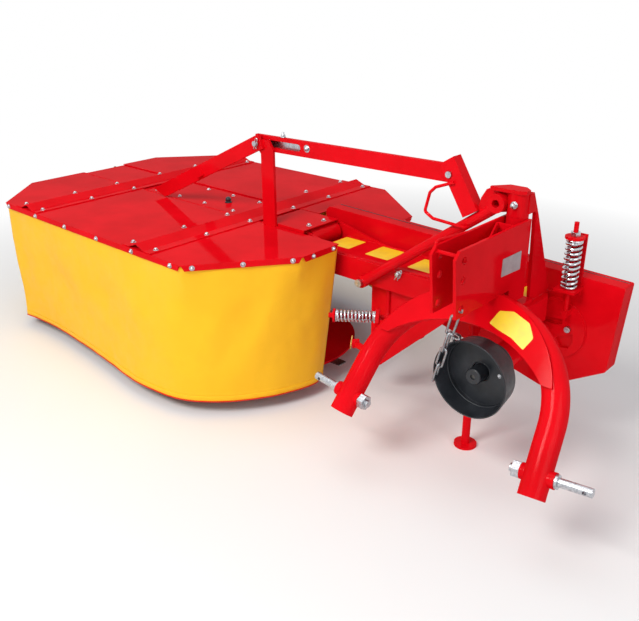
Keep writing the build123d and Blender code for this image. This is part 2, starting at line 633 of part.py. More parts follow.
stub_end = PTO_FRONT + PTO_STUB
NODES["pto_shaft"] = round_shaft(PTO_FRONT, stub_end, PTO_RADIUS) + round_shaft(
    stub_end, HOUSING_FRONT - SEAT, PTO_BODY)


def shield_profile():
    """Half section of the guard: an open cup, its floor, and a sleeve back to the bearing tube."""
    r, w, sleeve_r = SHIELD_RADIUS, SHIELD_WALL, SHIELD_SLEEVE
    back, end = SHIELD_FRONT + SHIELD_BACK, SHIELD_FRONT + SHIELD_LENGTH
    return make_face(Polyline(
        (r, SHIELD_FRONT), (r - SHIELD_TAPER, back), (sleeve_r, back), (sleeve_r, end), (BEARING_TUBE, end),
        (BEARING_TUBE, end - w), (sleeve_r - w, end - w), (sleeve_r - w, back), (SHIELD_EYE, back),
        (SHIELD_EYE, back - w), (r - SHIELD_TAPER - w, back - w), (r - w, SHIELD_FRONT), close=True))


shield = revolve(Plane.XY * shield_profile(), axis=Axis.Y)
NODES["pto_shield"] = Pos(PTO_X, 0, PTO_HEIGHT) * shield

# tensioner: a rod on the disc's lug, drawn up by a spring between its cap and the bracket's shelf
shelf_z, cap_z = PTO_HEIGHT + TENSION_SHELF, PTO_HEIGHT + TENSION_CAP


def tension_post(z0, z1, radius):
    return rod((TENSION_X, TENSION_Y, z0), (TENSION_X, TENSION_Y, z1), radius)


bracket = block(TENSION_X - SHELF_HALF, TENSION_X + SHELF_HALF, TENSION_Y - SHELF_HALF, HOUSING_FRONT,
                shelf_z - SHELF_THICK, shelf_z)
bracket = bracket - tension_post(shelf_z - SHELF_THICK - 1, shelf_z + 1, TENSION_ROD_RADIUS + 1)
back_half = SHELF_HALF - 9
bracket = bracket + block(TENSION_X - back_half, TENSION_X + back_half, HOUSING_FRONT - 6, HOUSING_FRONT,
                          shelf_z - 3 * SHELF_THICK, cap_z + SHELF_THICK)
NODES["tension_bracket"] = bracket
spring = tension_post(shelf_z, cap_z, TENSION_SPRING_RADIUS)
NODES["tension_spring"] = spring - tension_post(shelf_z - 1, cap_z + 1, TENSION_SPRING_BORE)
NODES["tension_rod"] = tension_post(lug_top, PTO_HEIGHT + TENSION_TOP, TENSION_ROD_RADIUS) + tension_post(
    cap_z, cap_z + TENSION_ROD_RADIUS, TENSION_CAP_RADIUS)
nut_z = cap_z + TENSION_ROD_RADIUS
nut = hex_prism((TENSION_X, TENSION_Y, nut_z), (TENSION_X, TENSION_Y, nut_z + TENSION_NUT / 2), TENSION_NUT)
NODES["tension_nut"] = nut - tension_post(nut_z - 1, nut_z + TENSION_NUT, TENSION_ROD_RADIUS + BORE_PLAY)

sleeve_bottom, sleeve_top = BEAM_BOTTOM - SLEEVE_DROP, BEAM_TOP + SLEEVE_RISE
sleeve = tube((STAND_X, STAND_Y, sleeve_bottom), (STAND_X, STAND_Y, sleeve_top), STAND_RADIUS + SLEEVE_WALL,
              STAND_RADIUS + RUNNING_PLAY)
NODES["stand_sleeve"] = sleeve + block(STAND_X - 8, STAND_X + 8, STAND_Y + 20, BEAM_FRONT, BEAM_BOTTOM + 12,
                                       BEAM_TOP - 8)
stand = rod((STAND_X, STAND_Y, STAND_FOOT_THICK), (STAND_X, STAND_Y, BEAM_TOP), STAND_RADIUS)
NODES["parking_stand"] = stand + rod((STAND_X, STAND_Y, 0), (STAND_X, STAND_Y, STAND_FOOT_THICK),
                                     STAND_FOOT_RADIUS)

# ---------------------------------------------------------------- breakaway catch on the left leg
catch_w = CATCH_SHARE * arch_top
if catch_w > arch_centre + arch_radius * sin(splay):
    leg_x = sqrt(arch_radius ** 2 - (catch_w - arch_centre) ** 2)
else:
    leg_x = arch_radius / cos(splay) - (catch_w - arch_centre) * tan(splay)
leg = ARCH.from_local_coords((-leg_x, catch_w, 0))
catch_b = leg + Vector(-CATCH_OUT, CATCH_BEHIND, 0)
heading = radians(CATCH_TURN)
catch_dir = Vector(cos(heading), sin(heading), 0)
catch_a = catch_b - catch_dir * CATCH_LENGTH
spring_a, spring_b = catch_a + catch_dir * CATCH_WASHER_THICK, catch_b - catch_dir * CATCH_EYE_HALF
spring = rod(spring_a, spring_b, CATCH_SPRING_RADIUS)
NODES["catch_spring"] = spring - rod(catch_a, catch_b, CATCH_SPRING_BORE)
catch = rod(catch_a - catch_dir * 2 * CATCH_WASHER_THICK, catch_b + catch_dir * CATCH_TAIL, CATCH_ROD_RADIUS)
NODES["catch_rod"] = catch + rod(catch_a, catch_a + catch_dir * CATCH_WASHER_THICK, CATCH_WASHER_RADIUS)
across = Vector(catch_dir.Y, -catch_dir.X, 0)
CATCH = Plane(origin=catch_b - catch_dir * CATCH_EYE_HALF, x_dir=across, z_dir=catch_dir)
# eye plate of the catch: distance across towards the leg, and up
EYE_PLATE = ((-24.0, -24.0), (0.0, -32.0), (90.0, -20.0), (90.0, 30.0), (0.0, 32.0), (-24.0, 24.0))
bracket = plate(CATCH, EYE_PLATE, 2 * CATCH_EYE_HALF)
catch_hole = rod(catch_a, catch_b + catch_dir * CATCH_TAIL, CATCH_ROD_RADIUS + BORE_PLAY)
NODES["catch_bracket"] = bracket - ARCH_SOLID - catch_hole
drop_bottom = BEAM_BOTTOM - DROP_LENGTH
drop_outline = (
    (DROP_LEFT, BEAM_BOTTOM), (DROP_LEFT, drop_bottom), (DROP_TIP, drop_bottom),
    (DROP_KNEE_X, BEAM_BOTTOM - DROP_KNEE), (DROP_RIGHT, BEAM_BOTTOM),
)
drop_back = DROP_Y + DROP_THICK
rib_bottom, rib_back = BEAM_BOTTOM - DROP_RIB_LENGTH, drop_back + DROP_RIB_DEPTH
rib_outline = (
    (drop_back - 1, rib_bottom), (drop_back + 2 * DROP_THICK, rib_bottom),
    (rib_back, BEAM_BOTTOM - DROP_KNEE), (rib_back, BEAM_BOTTOM), (drop_back - 1, BEAM_BOTTOM),
)
drop = plate(front(drop_back), drop_outline, DROP_THICK)
drop = drop + plate(side(DROP_RIB_X - DROP_THICK / 2), rib_outline, DROP_THICK)
drop_rod_y = DROP_Y - DROP_ROD_RADIUS + 2
drop_rod_end = BEAM_BOTTOM - DROP_ROD_LENGTH
NODES["catch_plate"] = drop + rod((DROP_ROD_X, drop_rod_y, BEAM_BOTTOM), (DROP_ROD_X, drop_rod_y, drop_rod_end),
                                  DROP_ROD_RADIUS)

# ---------------------------------------------------------------- cutter bar: gear beam and covers
drum_xs = (DRUM_INNER_X, DRUM_INNER_X - DRUM_SPACING)
gear_left = drum_xs[1] - GEAR_OVERRUN
gear = block(gear_left, HINGE_X - 40, GEAR_FRONT, GEAR_REAR, GEAR_BOTTOM, GEAR_TOP)
neck_rear = HOUSING_FRONT - SEAT
neck = rod((HINGE_X, BEAM_FRONT - 4, HINGE_HEIGHT), (HINGE_X, neck_rear, HINGE_HEIGHT), HINGE_RADIUS)
gear = gear + rod((HINGE_X, GEAR_FRONT, HINGE_HEIGHT), (HINGE_X, GEAR_REAR, HINGE_HEIGHT), HINGE_EYE) + neck
gear = gear + block(HINGE_X - 60, HINGE_X, GEAR_FRONT, GEAR_REAR, HINGE_HEIGHT - HINGE_EYE, GEAR_TOP)
for x in drum_xs:
    gear = gear + rod((x, DRUM_Y, GEAR_BOTTOM), (x, DRUM_Y, SKID_HUB_TOP + SEAT), SHAFT_RADIUS)
    gear = gear + rod((x, DRUM_Y, GEAR_BOTTOM), (x, DRUM_Y, SKID_WALL + 6), SKID_STUB)
NODES["gear_beam"] = gear

strip_top = COVER_TOP - SHEET
NODES["cover_strip"] = block(COVER_LEFT + STRIP_LAP / 2, STRIP_RIGHT,
                             STRIP_FRONT - STRIP_LAP, STRIP_REAR + STRIP_LAP, GEAR_TOP, strip_top)
hood_right = HINGE_X + HOOD_PAST_HINGE
hood_front, hood_rear = STRIP_FRONT + HOOD_FRONT_IN, STRIP_REAR - HOOD_REAR_IN
hood_top = COVER_TOP + HOOD_RISE
hood = block(HOOD_LEFT, hood_right, hood_front, hood_rear, strip_top, hood_top)
NODES["gearbox_cover"] = hood - block(HOOD_LEFT + SHEET, hood_right + 1,
                                      hood_front + SHEET, hood_rear - SHEET, strip_top - 1, hood_top - SHEET)

front_outline = (
    (COVER_LEFT, STRIP_FRONT),
    (COVER_LEFT, COVER_FRONT + CUT_OUTER_FRONT[1]),
    (COVER_LEFT + CUT_OUTER_FRONT[0], COVER_FRONT),
    (COVER_RIGHT - CUT_INNER_FRONT[0], COVER_FRONT),
    (COVER_RIGHT, COVER_FRONT + CUT_INNER_FRONT[1]),
    (COVER_RIGHT, STRIP_FRONT),
)
rear_outline = (
    (REAR_SHEET_RIGHT, STRIP_REAR),
    (COVER_LEFT, STRIP_REAR),
    (COVER_LEFT, COVER_REAR - CUT_OUTER_REAR[1]),
    (COVER_LEFT + CUT_OUTER_REAR[0], COVER_REAR),
    (COVER_RIGHT - CUT_INNER_REAR[0], COVER_REAR),
    (COVER_RIGHT, COVER_REAR - CUT_INNER_REAR[1]),
    (COVER_RIGHT, REAR_SHEET_STEP),
    (REAR_SHEET_RIGHT, REAR_SHEET_STEP),
)


def folded_sheet(outline, edges):
    """Top sheet with a flange turned down along the edges named by their two corner numbers."""
    sheet = plate(level(COVER_TOP - SHEET), outline, SHEET)
    cx = sum(p[0] for p in outline) / len(outline)
    cy = sum(p[1] for p in outline) / len(outline)
    for i, j in edges:
        a, b = Vector(*outline[i]), Vector(*outline[j])
        run = (b - a).normalized()
        inward = Vector(-run.Y, run.X)
        if inward.dot(Vector(cx, cy) - a) < 0:
            inward = inward * -1
        hem_z, sheet_z = Vector(0, 0, COVER_TOP - FLANGE), Vector(0, 0, COVER_TOP)
        gap, notch = run * FLANGE_GAP, run * FLANGE_NOTCH
        corners = (a + gap + sheet_z, b - gap + sheet_z, b - notch + hem_z, a + notch + hem_z)
        sheet = sheet + extrude(make_face(Polyline(*corners, close=True)), amount=SHEET, dir=inward)
    return sheet


NODES["cover_front"] = folded_sheet(front_outline, ((0, 1), (1, 2), (2, 3), (3, 4), (4, 5)))
NODES["cover_rear"] = folded_sheet(rear_outline, ((1, 2), (2, 3), (3, 4), (4, 5), (5, 6)))


def ridge(x):
    h, c, t = RIDGE_HALF, RIDGE_CREST, SHEET
    section = make_face(Polyline(
        (x - h, COVER_TOP), (x - c, COVER_TOP), (x, COVER_TOP + RIDGE_HEIGHT - t), (x + c, COVER_TOP),
        (x + h, COVER_TOP), (x + h, COVER_TOP + t), (x + c, COVER_TOP + t), (x, COVER_TOP + RIDGE_HEIGHT),
        (x - c, COVER_TOP + t), (x - h, COVER_TOP + t), close=True))
    rear_end = COVER_REAR - RIDGE_END
    return extrude(front(rear_end) * section, amount=rear_end - COVER_FRONT - RIDGE_END, dir=(0, -1, 0))


NODES["ridge_inner"] = ridge(RIDGE_XS[0])
NODES["ridge_outer"] = ridge(RIDGE_XS[1])

# canvas apron round the outside of both sheets, hung from inside the flanges
apron_front = [front_outline[i] for i in (5, 4, 3, 2, 1)]
apron_rear = [rear_outline[i] for i in (2, 3, 4, 5, 6)]
hang = offset(Polyline(*apron_front, *apron_rear, close=True), amount=-SHEET - 1 - CANVAS_THICK / 2)
apron = None
for edge in hang.edges():
    middle = edge.center()
    if middle.X > COVER_RIGHT - 20 and STRIP_FRONT < middle.Y < REAR_SHEET_STEP:
        continue            # the side towards the hinge is open
    hem = CANVAS_REAR_HEM if middle.Y > COVER_REAR - CUT_OUTER_REAR[1] else CANVAS_HEM
    a, b = edge @ 0, edge @ 1
    run = (b - a).normalized()
    half = Vector(-run.Y, run.X) * (CANVAS_THICK / 2)
    around = (a + half, b + half, b - half, a - half)
    strip = plate(level(hem), [(p.X, p.Y) for p in around], strip_top - hem)
    for end in (a, b):
        strip = strip + rod((end.X, end.Y, CANVAS_REAR_HEM), (end.X, end.Y, strip_top), CANVAS_THICK / 2)
    apron = strip if apron is None else apron + strip
NODES["canvas"] = apron

# ---------------------------------------------------------------- cutter bar: post, brace, link
front_bar = STAY_Y - LINK_THICK / 2 - BAR_PLAY
post_left, post_right = POST_X - POST_WIDTH / 2, POST_X + POST_WIDTH / 2
post_outline = (
    (post_left, COVER_TOP), (post_right, COVER_TOP), (post_right, APEX[1] - 20), (POST_X + 10, APEX[1] + 16),
    (APEX[0] - 12, APEX[1] + 16), (APEX[0] - 26, APEX[1]), (post_left, APEX[1] - 42),
)
apex_hole = rod((APEX[0], STAY_Y - 99, APEX[1]), (APEX[0], STAY_Y + 99, APEX[1]), APEX_PIN_RADIUS + BORE_PLAY)
NODES["link_post"] = plate(front(front_bar), post_outline, BAR_THICK) - apex_hole
apex = Vector(APEX[0], 0, APEX[1])
brace_run = Vector(BRACE_FOOT_X, 0, COVER_TOP + BRACE_HALF) - apex
brace_dir = brace_run.normalized()
brace_up = Vector(brace_dir.Z, 0, -brace_dir.X) * BRACE_HALF
brace_back = apex - brace_dir * 26
brace_foot = apex + brace_run
brace_outline = [
    (p.X, max(p.Z, COVER_TOP))
    for p in (brace_back + brace_up, brace_back - brace_up, brace_foot - brace_up,
              brace_foot + brace_dir * BRACE_TOE + brace_up)
]
brace = plate(front(front_bar - BAR_THICK), brace_outline, BAR_THICK)
NODES["post_brace"] = brace - apex_hole
pin = rod((APEX[0], front_bar - 2 * BAR_THICK - 14, APEX[1]), (APEX[0], STAY_Y + LINK_THICK / 2 + 4, APEX[1]),
          APEX_PIN_RADIUS)
NODES["apex_pin"] = pin

link_dir = Vector(LINK_PIN[0] - APEX[0], 0, LINK_PIN[1] - APEX[1]).normalized()
link_up = Vector(-link_dir.Z, 0, link_dir.X)
link_length = hypot(LINK_PIN[0] - APEX[0], LINK_PIN[1] - APEX[1])
LINK = Plane(origin=(APEX[0], STAY_Y + LINK_THICK / 2, APEX[1]), x_dir=link_dir, z_dir=(0, -1, 0))
link_half = LINK_HEIGHT / 2
bar = LINK * (Pos((link_length - link_half) / 2, 0) * Rectangle(link_length + link_half, LINK_HEIGHT))
bar = bar + LINK * (Pos(link_length, 0) * Circle(link_half))
link = extrude(bar, amount=LINK_THICK, dir=(0, -1, 0))
slot = LINK * (Pos(SLOT_TRAVEL / 2, 0) * SlotCenterToCenter(SLOT_TRAVEL, 2 * (APEX_PIN_RADIUS + SLOT_PLAY)))
link = link - extrude(slot, amount=LINK_THICK, dir=(0, -1, 0))
link = link - rod((LINK_PIN[0], STAY_Y - 99, LINK_PIN[1]), (LINK_PIN[0], STAY_Y + 99, LINK_PIN[1]),
                  APEX_PIN_RADIUS + RUNNING_PLAY)
NODES["top_link"] = link
NODES["lever_pin"] = rod((LINK_PIN[0], STAY_Y - LEVER_DEPTH / 2 - 8, LINK_PIN[1]),
                         (LINK_PIN[0], STAY_Y + LEVER_DEPTH / 2 + 6, LINK_PIN[1]), APEX_PIN_RADIUS)

# ---------------------------------------------------------------- drums, knives and skids


def drum(x):
    b, d, r = BARREL_RADIUS, DISC_RADIUS, SHAFT_RADIUS + RUNNING_PLAY
    outline = (
        (r, DISC_BOTTOM), (d, DISC_BOTTOM), (d, DISC_BOTTOM + DISC_EDGE), (b + 70, DISC_BOTTOM + 46),
        (b + 12, DISC_BOTTOM + 120), (b, DISC_BOTTOM + 200), (b, GEAR_BOTTOM - 40),
        (b - 30, GEAR_BOTTOM - 12), (r, GEAR_BOTTOM - 12),
    )
    body = revolve(Plane.XZ * make_face(Polyline(*outline, close=True)), axis=Axis.Z)
    for k in range(6):
        rib = block(b - 4, b + 14, -5, 5, DISC_BOTTOM + 110, GEAR_BOTTOM - 60)
        body = body + Rot(0, 0, 60 * k) * rib
    return Pos(x, DRUM_Y, 0) * body


def knives(x, turn):
    blade = block(DISC_RADIUS - 90, KNIFE_RADIUS, -KNIFE_WIDTH / 2, KNIFE_WIDTH / 2,
                  DISC_BOTTOM - KNIFE_THICK, DISC_BOTTOM)
    blades = [Rot(0, 0, turn + 120 * k) * blade for k in range(3)]
    return Pos(x, DRUM_Y, 0) * Compound(blades)


def skid(x):
    r, h, w, hub = SKID_RADIUS, SKID_HEIGHT, SKID_WALL, SKID_HUB
    outline = ((0, 0), (r - 90, 0), (r - 24, 14), (r, h), (r - w, h), (r - 26, 14 + w), (r - 92, w), (hub, w),
               (hub, SKID_HUB_TOP), (0, SKID_HUB_TOP))
    dish = revolve(Plane.XZ * make_face(Polyline(*outline, close=True)), axis=Axis.Z)
    return Pos(x, DRUM_Y, 0) * (dish - rod((0, 0, w), (0, 0, SKID_HUB_TOP + 1), SKID_STUB + RUNNING_PLAY))


for name, x, turn in (("inner", drum_xs[0], 0), ("outer", drum_xs[1], 0)):
    NODES[f"drum_{name}"] = drum(x)
    NODES[f"knives_{name}"] = knives(x, turn)
    NODES[f"skid_{name}"] = skid(x)

# ---------------------------------------------------------------- origin and export
extents = [s.bounding_box() for s in NODES.values()]
ORIGIN = Vector(
    (min(b.min.X for b in extents) + max(b.max.X for b in extents)) / 2,
    (min(b.min.Y for b in extents) + max(b.max.Y for b in extents)) / 2,
    min(b.min.Z for b in extents),
)
if __name__ == "__main__":
    os.makedirs("parts", exist_ok=True)
    for name, shape in NODES.items():
        export_step(Pos(-ORIGIN.X, -ORIGIN.Y, -ORIGIN.Z) * shape, f"parts/{name}.step")
    print("origin in the hitch frame", ORIGIN)
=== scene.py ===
# %% [markdown]
# # A two-drum mower, dressed in Blender
# The steel of this mower is already modelled and packed: beams, covers, drums, pins and joints stand in
# their real places. What is left is what the eye reads first: glossy red enamel, zinc-plated fasteners, a
# coated canvas apron, coil springs, a chain and a moulded guard. Each step below says what the real piece
# is and how it is made here.

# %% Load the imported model
import json
import math

import bmesh
import bpy
from mathutils import Matrix, Vector, noise


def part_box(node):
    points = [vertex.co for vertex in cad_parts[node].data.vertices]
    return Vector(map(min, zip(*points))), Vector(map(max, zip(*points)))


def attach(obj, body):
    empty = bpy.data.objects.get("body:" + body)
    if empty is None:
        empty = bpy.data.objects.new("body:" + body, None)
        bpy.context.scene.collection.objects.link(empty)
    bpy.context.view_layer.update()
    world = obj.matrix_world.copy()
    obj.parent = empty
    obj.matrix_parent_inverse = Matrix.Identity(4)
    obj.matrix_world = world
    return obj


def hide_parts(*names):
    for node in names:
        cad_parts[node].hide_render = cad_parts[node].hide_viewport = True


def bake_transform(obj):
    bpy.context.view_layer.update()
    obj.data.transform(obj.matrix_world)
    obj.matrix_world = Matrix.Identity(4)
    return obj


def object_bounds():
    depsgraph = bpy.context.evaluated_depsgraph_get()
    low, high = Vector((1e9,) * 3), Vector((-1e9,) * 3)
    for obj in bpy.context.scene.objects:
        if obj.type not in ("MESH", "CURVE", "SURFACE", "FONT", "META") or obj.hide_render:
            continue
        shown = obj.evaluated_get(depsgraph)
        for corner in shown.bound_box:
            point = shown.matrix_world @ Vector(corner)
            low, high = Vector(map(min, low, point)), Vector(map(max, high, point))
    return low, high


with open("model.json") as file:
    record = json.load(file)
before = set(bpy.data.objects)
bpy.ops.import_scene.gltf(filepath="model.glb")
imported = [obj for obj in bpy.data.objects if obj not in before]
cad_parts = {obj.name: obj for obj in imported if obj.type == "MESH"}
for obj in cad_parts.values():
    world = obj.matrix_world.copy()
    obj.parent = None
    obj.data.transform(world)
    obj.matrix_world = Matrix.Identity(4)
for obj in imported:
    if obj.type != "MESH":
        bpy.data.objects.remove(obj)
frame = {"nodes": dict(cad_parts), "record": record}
nodes = frame["nodes"]
frame_low, frame_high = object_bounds()
MM = 0.001

# %% [markdown]
# ## The viewpoint
# A camera is only a place, a direction and a lens. The mower is long and is seen from close by, so the
# lens is fairly short for the frame and the near hitch looks big. The place is given from the middle of
# the machine on the ground, and the turn by three plain angles: how far round the machine, how far down,
# and a slight roll.

# %% Camera
CAMERA_PLACE = Vector((2.1258, -2.2395, 1.614))
CAMERA_AZIMUTH, CAMERA_ELEVATION, CAMERA_ROLL = 42.34, 23.75, -0.46
CAMERA_LENS = 43.05


def aim(azimuth, elevation, roll):
    """Turn of a camera that looks along +Y at azimuth 0 and down by the elevation."""
    a, e, r = (math.radians(v) for v in (azimuth, elevation, roll))
    ahead = Vector((-math.sin(a) * math.cos(e), math.cos(a) * math.cos(e), -math.sin(e)))
    right = Vector((math.cos(a), math.sin(a), 0))
    up = right.cross(ahead)
    right, up = math.cos(r) * right + math.sin(r) * up, math.cos(r) * up - math.sin(r) * right
    return Matrix((right, up, -ahead)).transposed().to_4x4()


camera = bpy.data.objects.new("camera", bpy.data.cameras.new("camera"))
camera.data.lens = CAMERA_LENS
camera.data.clip_start = 0.05
camera.matrix_world = Matrix.Translation(CAMERA_PLACE) @ aim(CAMERA_AZIMUTH, CAMERA_ELEVATION, CAMERA_ROLL)
bpy.context.scene.collection.objects.link(camera)
bpy.context.scene.camera = camera
bpy.context.scene.view_settings.view_transform = "Standard"
print("camera at", tuple(round(v, 3) for v in camera.location))

# %% [markdown]
# ## A small kit for materials
# Every finish here is a Principled shader with procedural variation in Object coordinates. Pieces sit at
# the origin with their place in the mesh, so one pattern runs across the whole machine at its real scale.

# %% Material helpers


class Finish:
    """A Principled material with short calls for the nodes that vary it."""

    def __init__(self, name, colour, roughness, metallic=0.0, **sockets):
        self.material = bpy.data.materials.new(name)
        self.material.use_nodes = True
        self.tree = self.material.node_tree
        self.shader = self.tree.nodes["Principled BSDF"]
        self.shader.inputs["Base Color"].default_value = (*colour, 1)
        self.shader.inputs["Roughness"].default_value = roughness
        self.shader.inputs["Metallic"].default_value = metallic
        for socket, value in sockets.items():
            self.shader.inputs[socket.replace("_", " ")].default_value = value
        self.place = self.add("ShaderNodeTexCoord").outputs["Object"]

    def add(self, kind, **values):
        made = self.tree.nodes.new(kind)
        for name, value in values.items():
            setattr(made, name, value)
        return made

    def link(self, output, to):
        self.tree.links.new(output, to)

    def noise(self, scale, detail=4.0, rough=0.55, stretch=(1, 1, 1)):
        """Noise value, with `scale` in cells per metre, stretched along the axes."""
        squeeze = self.add("ShaderNodeMapping")
        squeeze.inputs["Scale"].default_value = stretch
        self.link(self.place, squeeze.inputs["Vector"])
        made = self.add("ShaderNodeTexNoise")
        made.inputs["Scale"].default_value = scale
        made.inputs["Detail"].default_value = detail
        made.inputs["Roughness"].default_value = rough
        self.link(squeeze.outputs["Vector"], made.inputs["Vector"])
        return made.outputs["Fac"]

    def ramp(self, value, low, high, dark=0.0, light=1.0):
        """Straight ramp: `dark` below low, `light` above high."""
        made = self.add("ShaderNodeMapRange")
        for name, number in (("From Min", low), ("From Max", high), ("To Min", dark), ("To Max", light)):
            made.inputs[name].default_value = number
        self.link(value, made.inputs["Value"])
        return made.outputs["Result"]

    def math(self, what, a, b):
        made = self.add("ShaderNodeMath", operation=what)
        for socket, value in zip(made.inputs, (a, b)):
            if isinstance(value, (int, float)):
                socket.default_value = value
            else:
                self.link(value, socket)
        return made.outputs[0]

    def mix(self, share, a, b):
        """Colour between a and b; each is a colour or an output."""
        made = self.add("ShaderNodeMix", data_type="RGBA")
        self.link(share, made.inputs["Factor"])
        for name, value in (("A", a), ("B", b)):
            socket = next(s for s in made.inputs if s.name == name and s.type == "RGBA")
            if isinstance(value, tuple):
                socket.default_value = (*value, 1)
            else:
                self.link(value, socket)
        return next(s for s in made.outputs if s.type == "RGBA")

    def edges(self, radius):
        """1 on convex and concave edges, 0 on flats: how far a rounded normal leaves the true one."""
        rounded = self.add("ShaderNodeBevel", samples=6)
        rounded.inputs["Radius"].default_value = radius
        plain = self.add("ShaderNodeNewGeometry")
        dot = self.add("ShaderNodeVectorMath", operation="DOT_PRODUCT")
        self.link(rounded.outputs["Normal"], dot.inputs[0])
        self.link(plain.outputs["Normal"], dot.inputs[1])
        return self.ramp(dot.outputs["Value"], 0.98, 0.80)

    def colour(self, output):
        self.link(output, self.shader.inputs["Base Color"])

    def roughness(self, output):
        self.link(output, self.shader.inputs["Roughness"])

    def bump(self, height, depth, edge_radius=0.0):
        """Bump of `depth` metres, over edges rounded by edge_radius metres."""
        made = self.add("ShaderNodeBump")
        made.inputs["Strength"].default_value = 1.0
        made.inputs["Distance"].default_value = depth
        self.link(height, made.inputs["Height"])
        if edge_radius:
            rounded = self.add("ShaderNodeBevel", samples=6)
            rounded.inputs["Radius"].default_value = edge_radius
            self.link(rounded.outputs["Normal"], made.inputs["Normal"])
        self.link(made.outputs["Normal"], self.shader.inputs["Normal"])


print("finish kit ready")

# %% [markdown]
# ## Red enamel
# Farm machines are sprayed with a thick glossy enamel. It is never quite flat: the surface has a fine
# orange peel, the colour drifts a little where the coat is thick or thin, dust dulls the gloss in
# patches, and the coat wears pale along sharp edges. A clear coat on the Principled shader gives the wet
# highlight over a slightly rough base.

# %% Red enamel
RED = (0.74, 0.003, 0.009)
RED_DEEP = (0.62, 0.002, 0.006)
RED_PALE = (0.82, 0.040, 0.045)


def red_enamel(name, wear=0.35):
    finish = Finish(name, RED, 0.34, Coat_Weight=0.11, Coat_Roughness=0.08, Specular_IOR_Level=0.0)
    drift = finish.ramp(finish.noise(5, 3), 0.35, 0.70)
    colour = finish.mix(drift, RED, RED_DEEP)
    edge = finish.edges(0.0022)
    patchy = finish.ramp(finish.noise(55, 5), 0.42, 0.62)
    worn = finish.math("MULTIPLY", finish.math("MULTIPLY", edge, patchy), wear)
    finish.colour(finish.mix(worn, colour, RED_PALE))
    dull = finish.ramp(finish.noise(9, 6, 0.65), 0.40, 0.72, 0.24, 0.40)
    finish.roughness(dull)
    finish.bump(finish.noise(220, 2), 0.00003, 0.0016)
    return finish.material


red = red_enamel("red enamel")
print("enamel:", red.name)

# %% [markdown]
# ## Zinc, springs and bare steel
# Bolts, pins and springs are zinc-plated: bright, slightly blue-grey, with a fine brushed or crystalline
# variation in how rough they are. Working steel such as knives and the drive stub is darker and smeared
# with grease.

# %% Plated and bare steel


def plated(name, light, dark, rough, scale=140):
    finish = Finish(name, light, rough, 1.0)
    blotch = finish.ramp(finish.noise(scale, 4), 0.35, 0.65)
    finish.colour(finish.mix(blotch, light, dark))
    finish.roughness(finish.ramp(finish.noise(scale * 2, 3), 0.3, 0.7, rough * 0.8, rough * 1.4))
    finish.bump(finish.noise(scale * 6, 2), 0.00004, 0.0008)
    return finish.material


zinc = plated("zinc plate", (0.60, 0.61, 0.64), (0.38, 0.39, 0.42), 0.26)
spring_steel = plated("bright spring steel", (0.64, 0.65, 0.68), (0.42, 0.43, 0.46), 0.18)
chain_steel = plated("galvanised chain", (0.44, 0.45, 0.47), (0.24, 0.25, 0.27), 0.32)
knife_steel = plated("dark knife steel", (0.24, 0.24, 0.25), (0.12, 0.12, 0.13), 0.38)
stub_steel = plated("greased stub", (0.17, 0.165, 0.16), (0.06, 0.055, 0.05), 0.34, 60)
brass = plated("brass wire", (0.80, 0.56, 0.20), (0.62, 0.40, 0.12), 0.26)
print("steels: zinc, spring, chain, knife, stub, brass")

# %% [markdown]
# ## Black guard, blank labels and worn skids
# The drive shaft's guard is moulded black plastic with a leathery grain. Labels are thin film with a soft
# sheen, left blank here. The skid dishes slide on stubble, so their soles are scoured to grey steel while
# the sides keep paint.

# %% Guard, labels and skids


def moulded_black(name):
    finish = Finish(name, (0.015, 0.017, 0.022), 0.42, Specular_IOR_Level=0.5)
    clouds = finish.ramp(finish.noise(14, 4), 0.4, 0.7)
    finish.colour(finish.mix(clouds, (0.010, 0.012, 0.016), (0.024, 0.027, 0.034)))
    finish.roughness(finish.ramp(finish.noise(30, 4), 0.35, 0.65, 0.34, 0.52))
    finish.bump(finish.noise(900, 2), 0.00012, 0.0015)
    return finish.material


def film(name, colour, faded):
    finish = Finish(name, colour, 0.36, Coat_Weight=0.25, Coat_Roughness=0.2)
    finish.colour(finish.mix(finish.ramp(finish.noise(26, 4), 0.4, 0.7), colour, faded))
    finish.bump(finish.noise(160, 2), 0.00005)
    return finish.material


def scoured_skid(name):
    finish = Finish(name, RED_DEEP, 0.4)
    height = finish.add("ShaderNodeSeparateXYZ")
    finish.link(finish.place, height.inputs["Vector"])
    ragged = finish.math("MULTIPLY", finish.noise(60, 5), 0.016)
    level = finish.math("ADD", height.outputs["Z"], ragged)
    bare = finish.ramp(level, 0.024, 0.012)
    finish.colour(finish.mix(bare, RED_DEEP, (0.34, 0.33, 0.32)))
    finish.link(bare, finish.shader.inputs["Metallic"])
    finish.roughness(finish.ramp(finish.noise(90, 3, stretch=(1, 6, 1)), 0.3, 0.7, 0.30, 0.52))
    finish.bump(finish.noise(240, 3, stretch=(1, 5, 1)), 0.0002, 0.001)
    return finish.material


black = moulded_black("black guard")
label_yellow = film("yellow label film", (0.95, 0.68, 0.02), (0.86, 0.58, 0.03))
plate_grey = film("blank grey plate", (0.33, 0.32, 0.33), (0.24, 0.23, 0.24))
skid_finish = scoured_skid("scoured skid")
print("guard, label and skid finishes ready")

# %% [markdown]
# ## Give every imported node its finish
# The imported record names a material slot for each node. The slots become finishes here in one table, so a
# node that is added later gets its look by its slot alone.

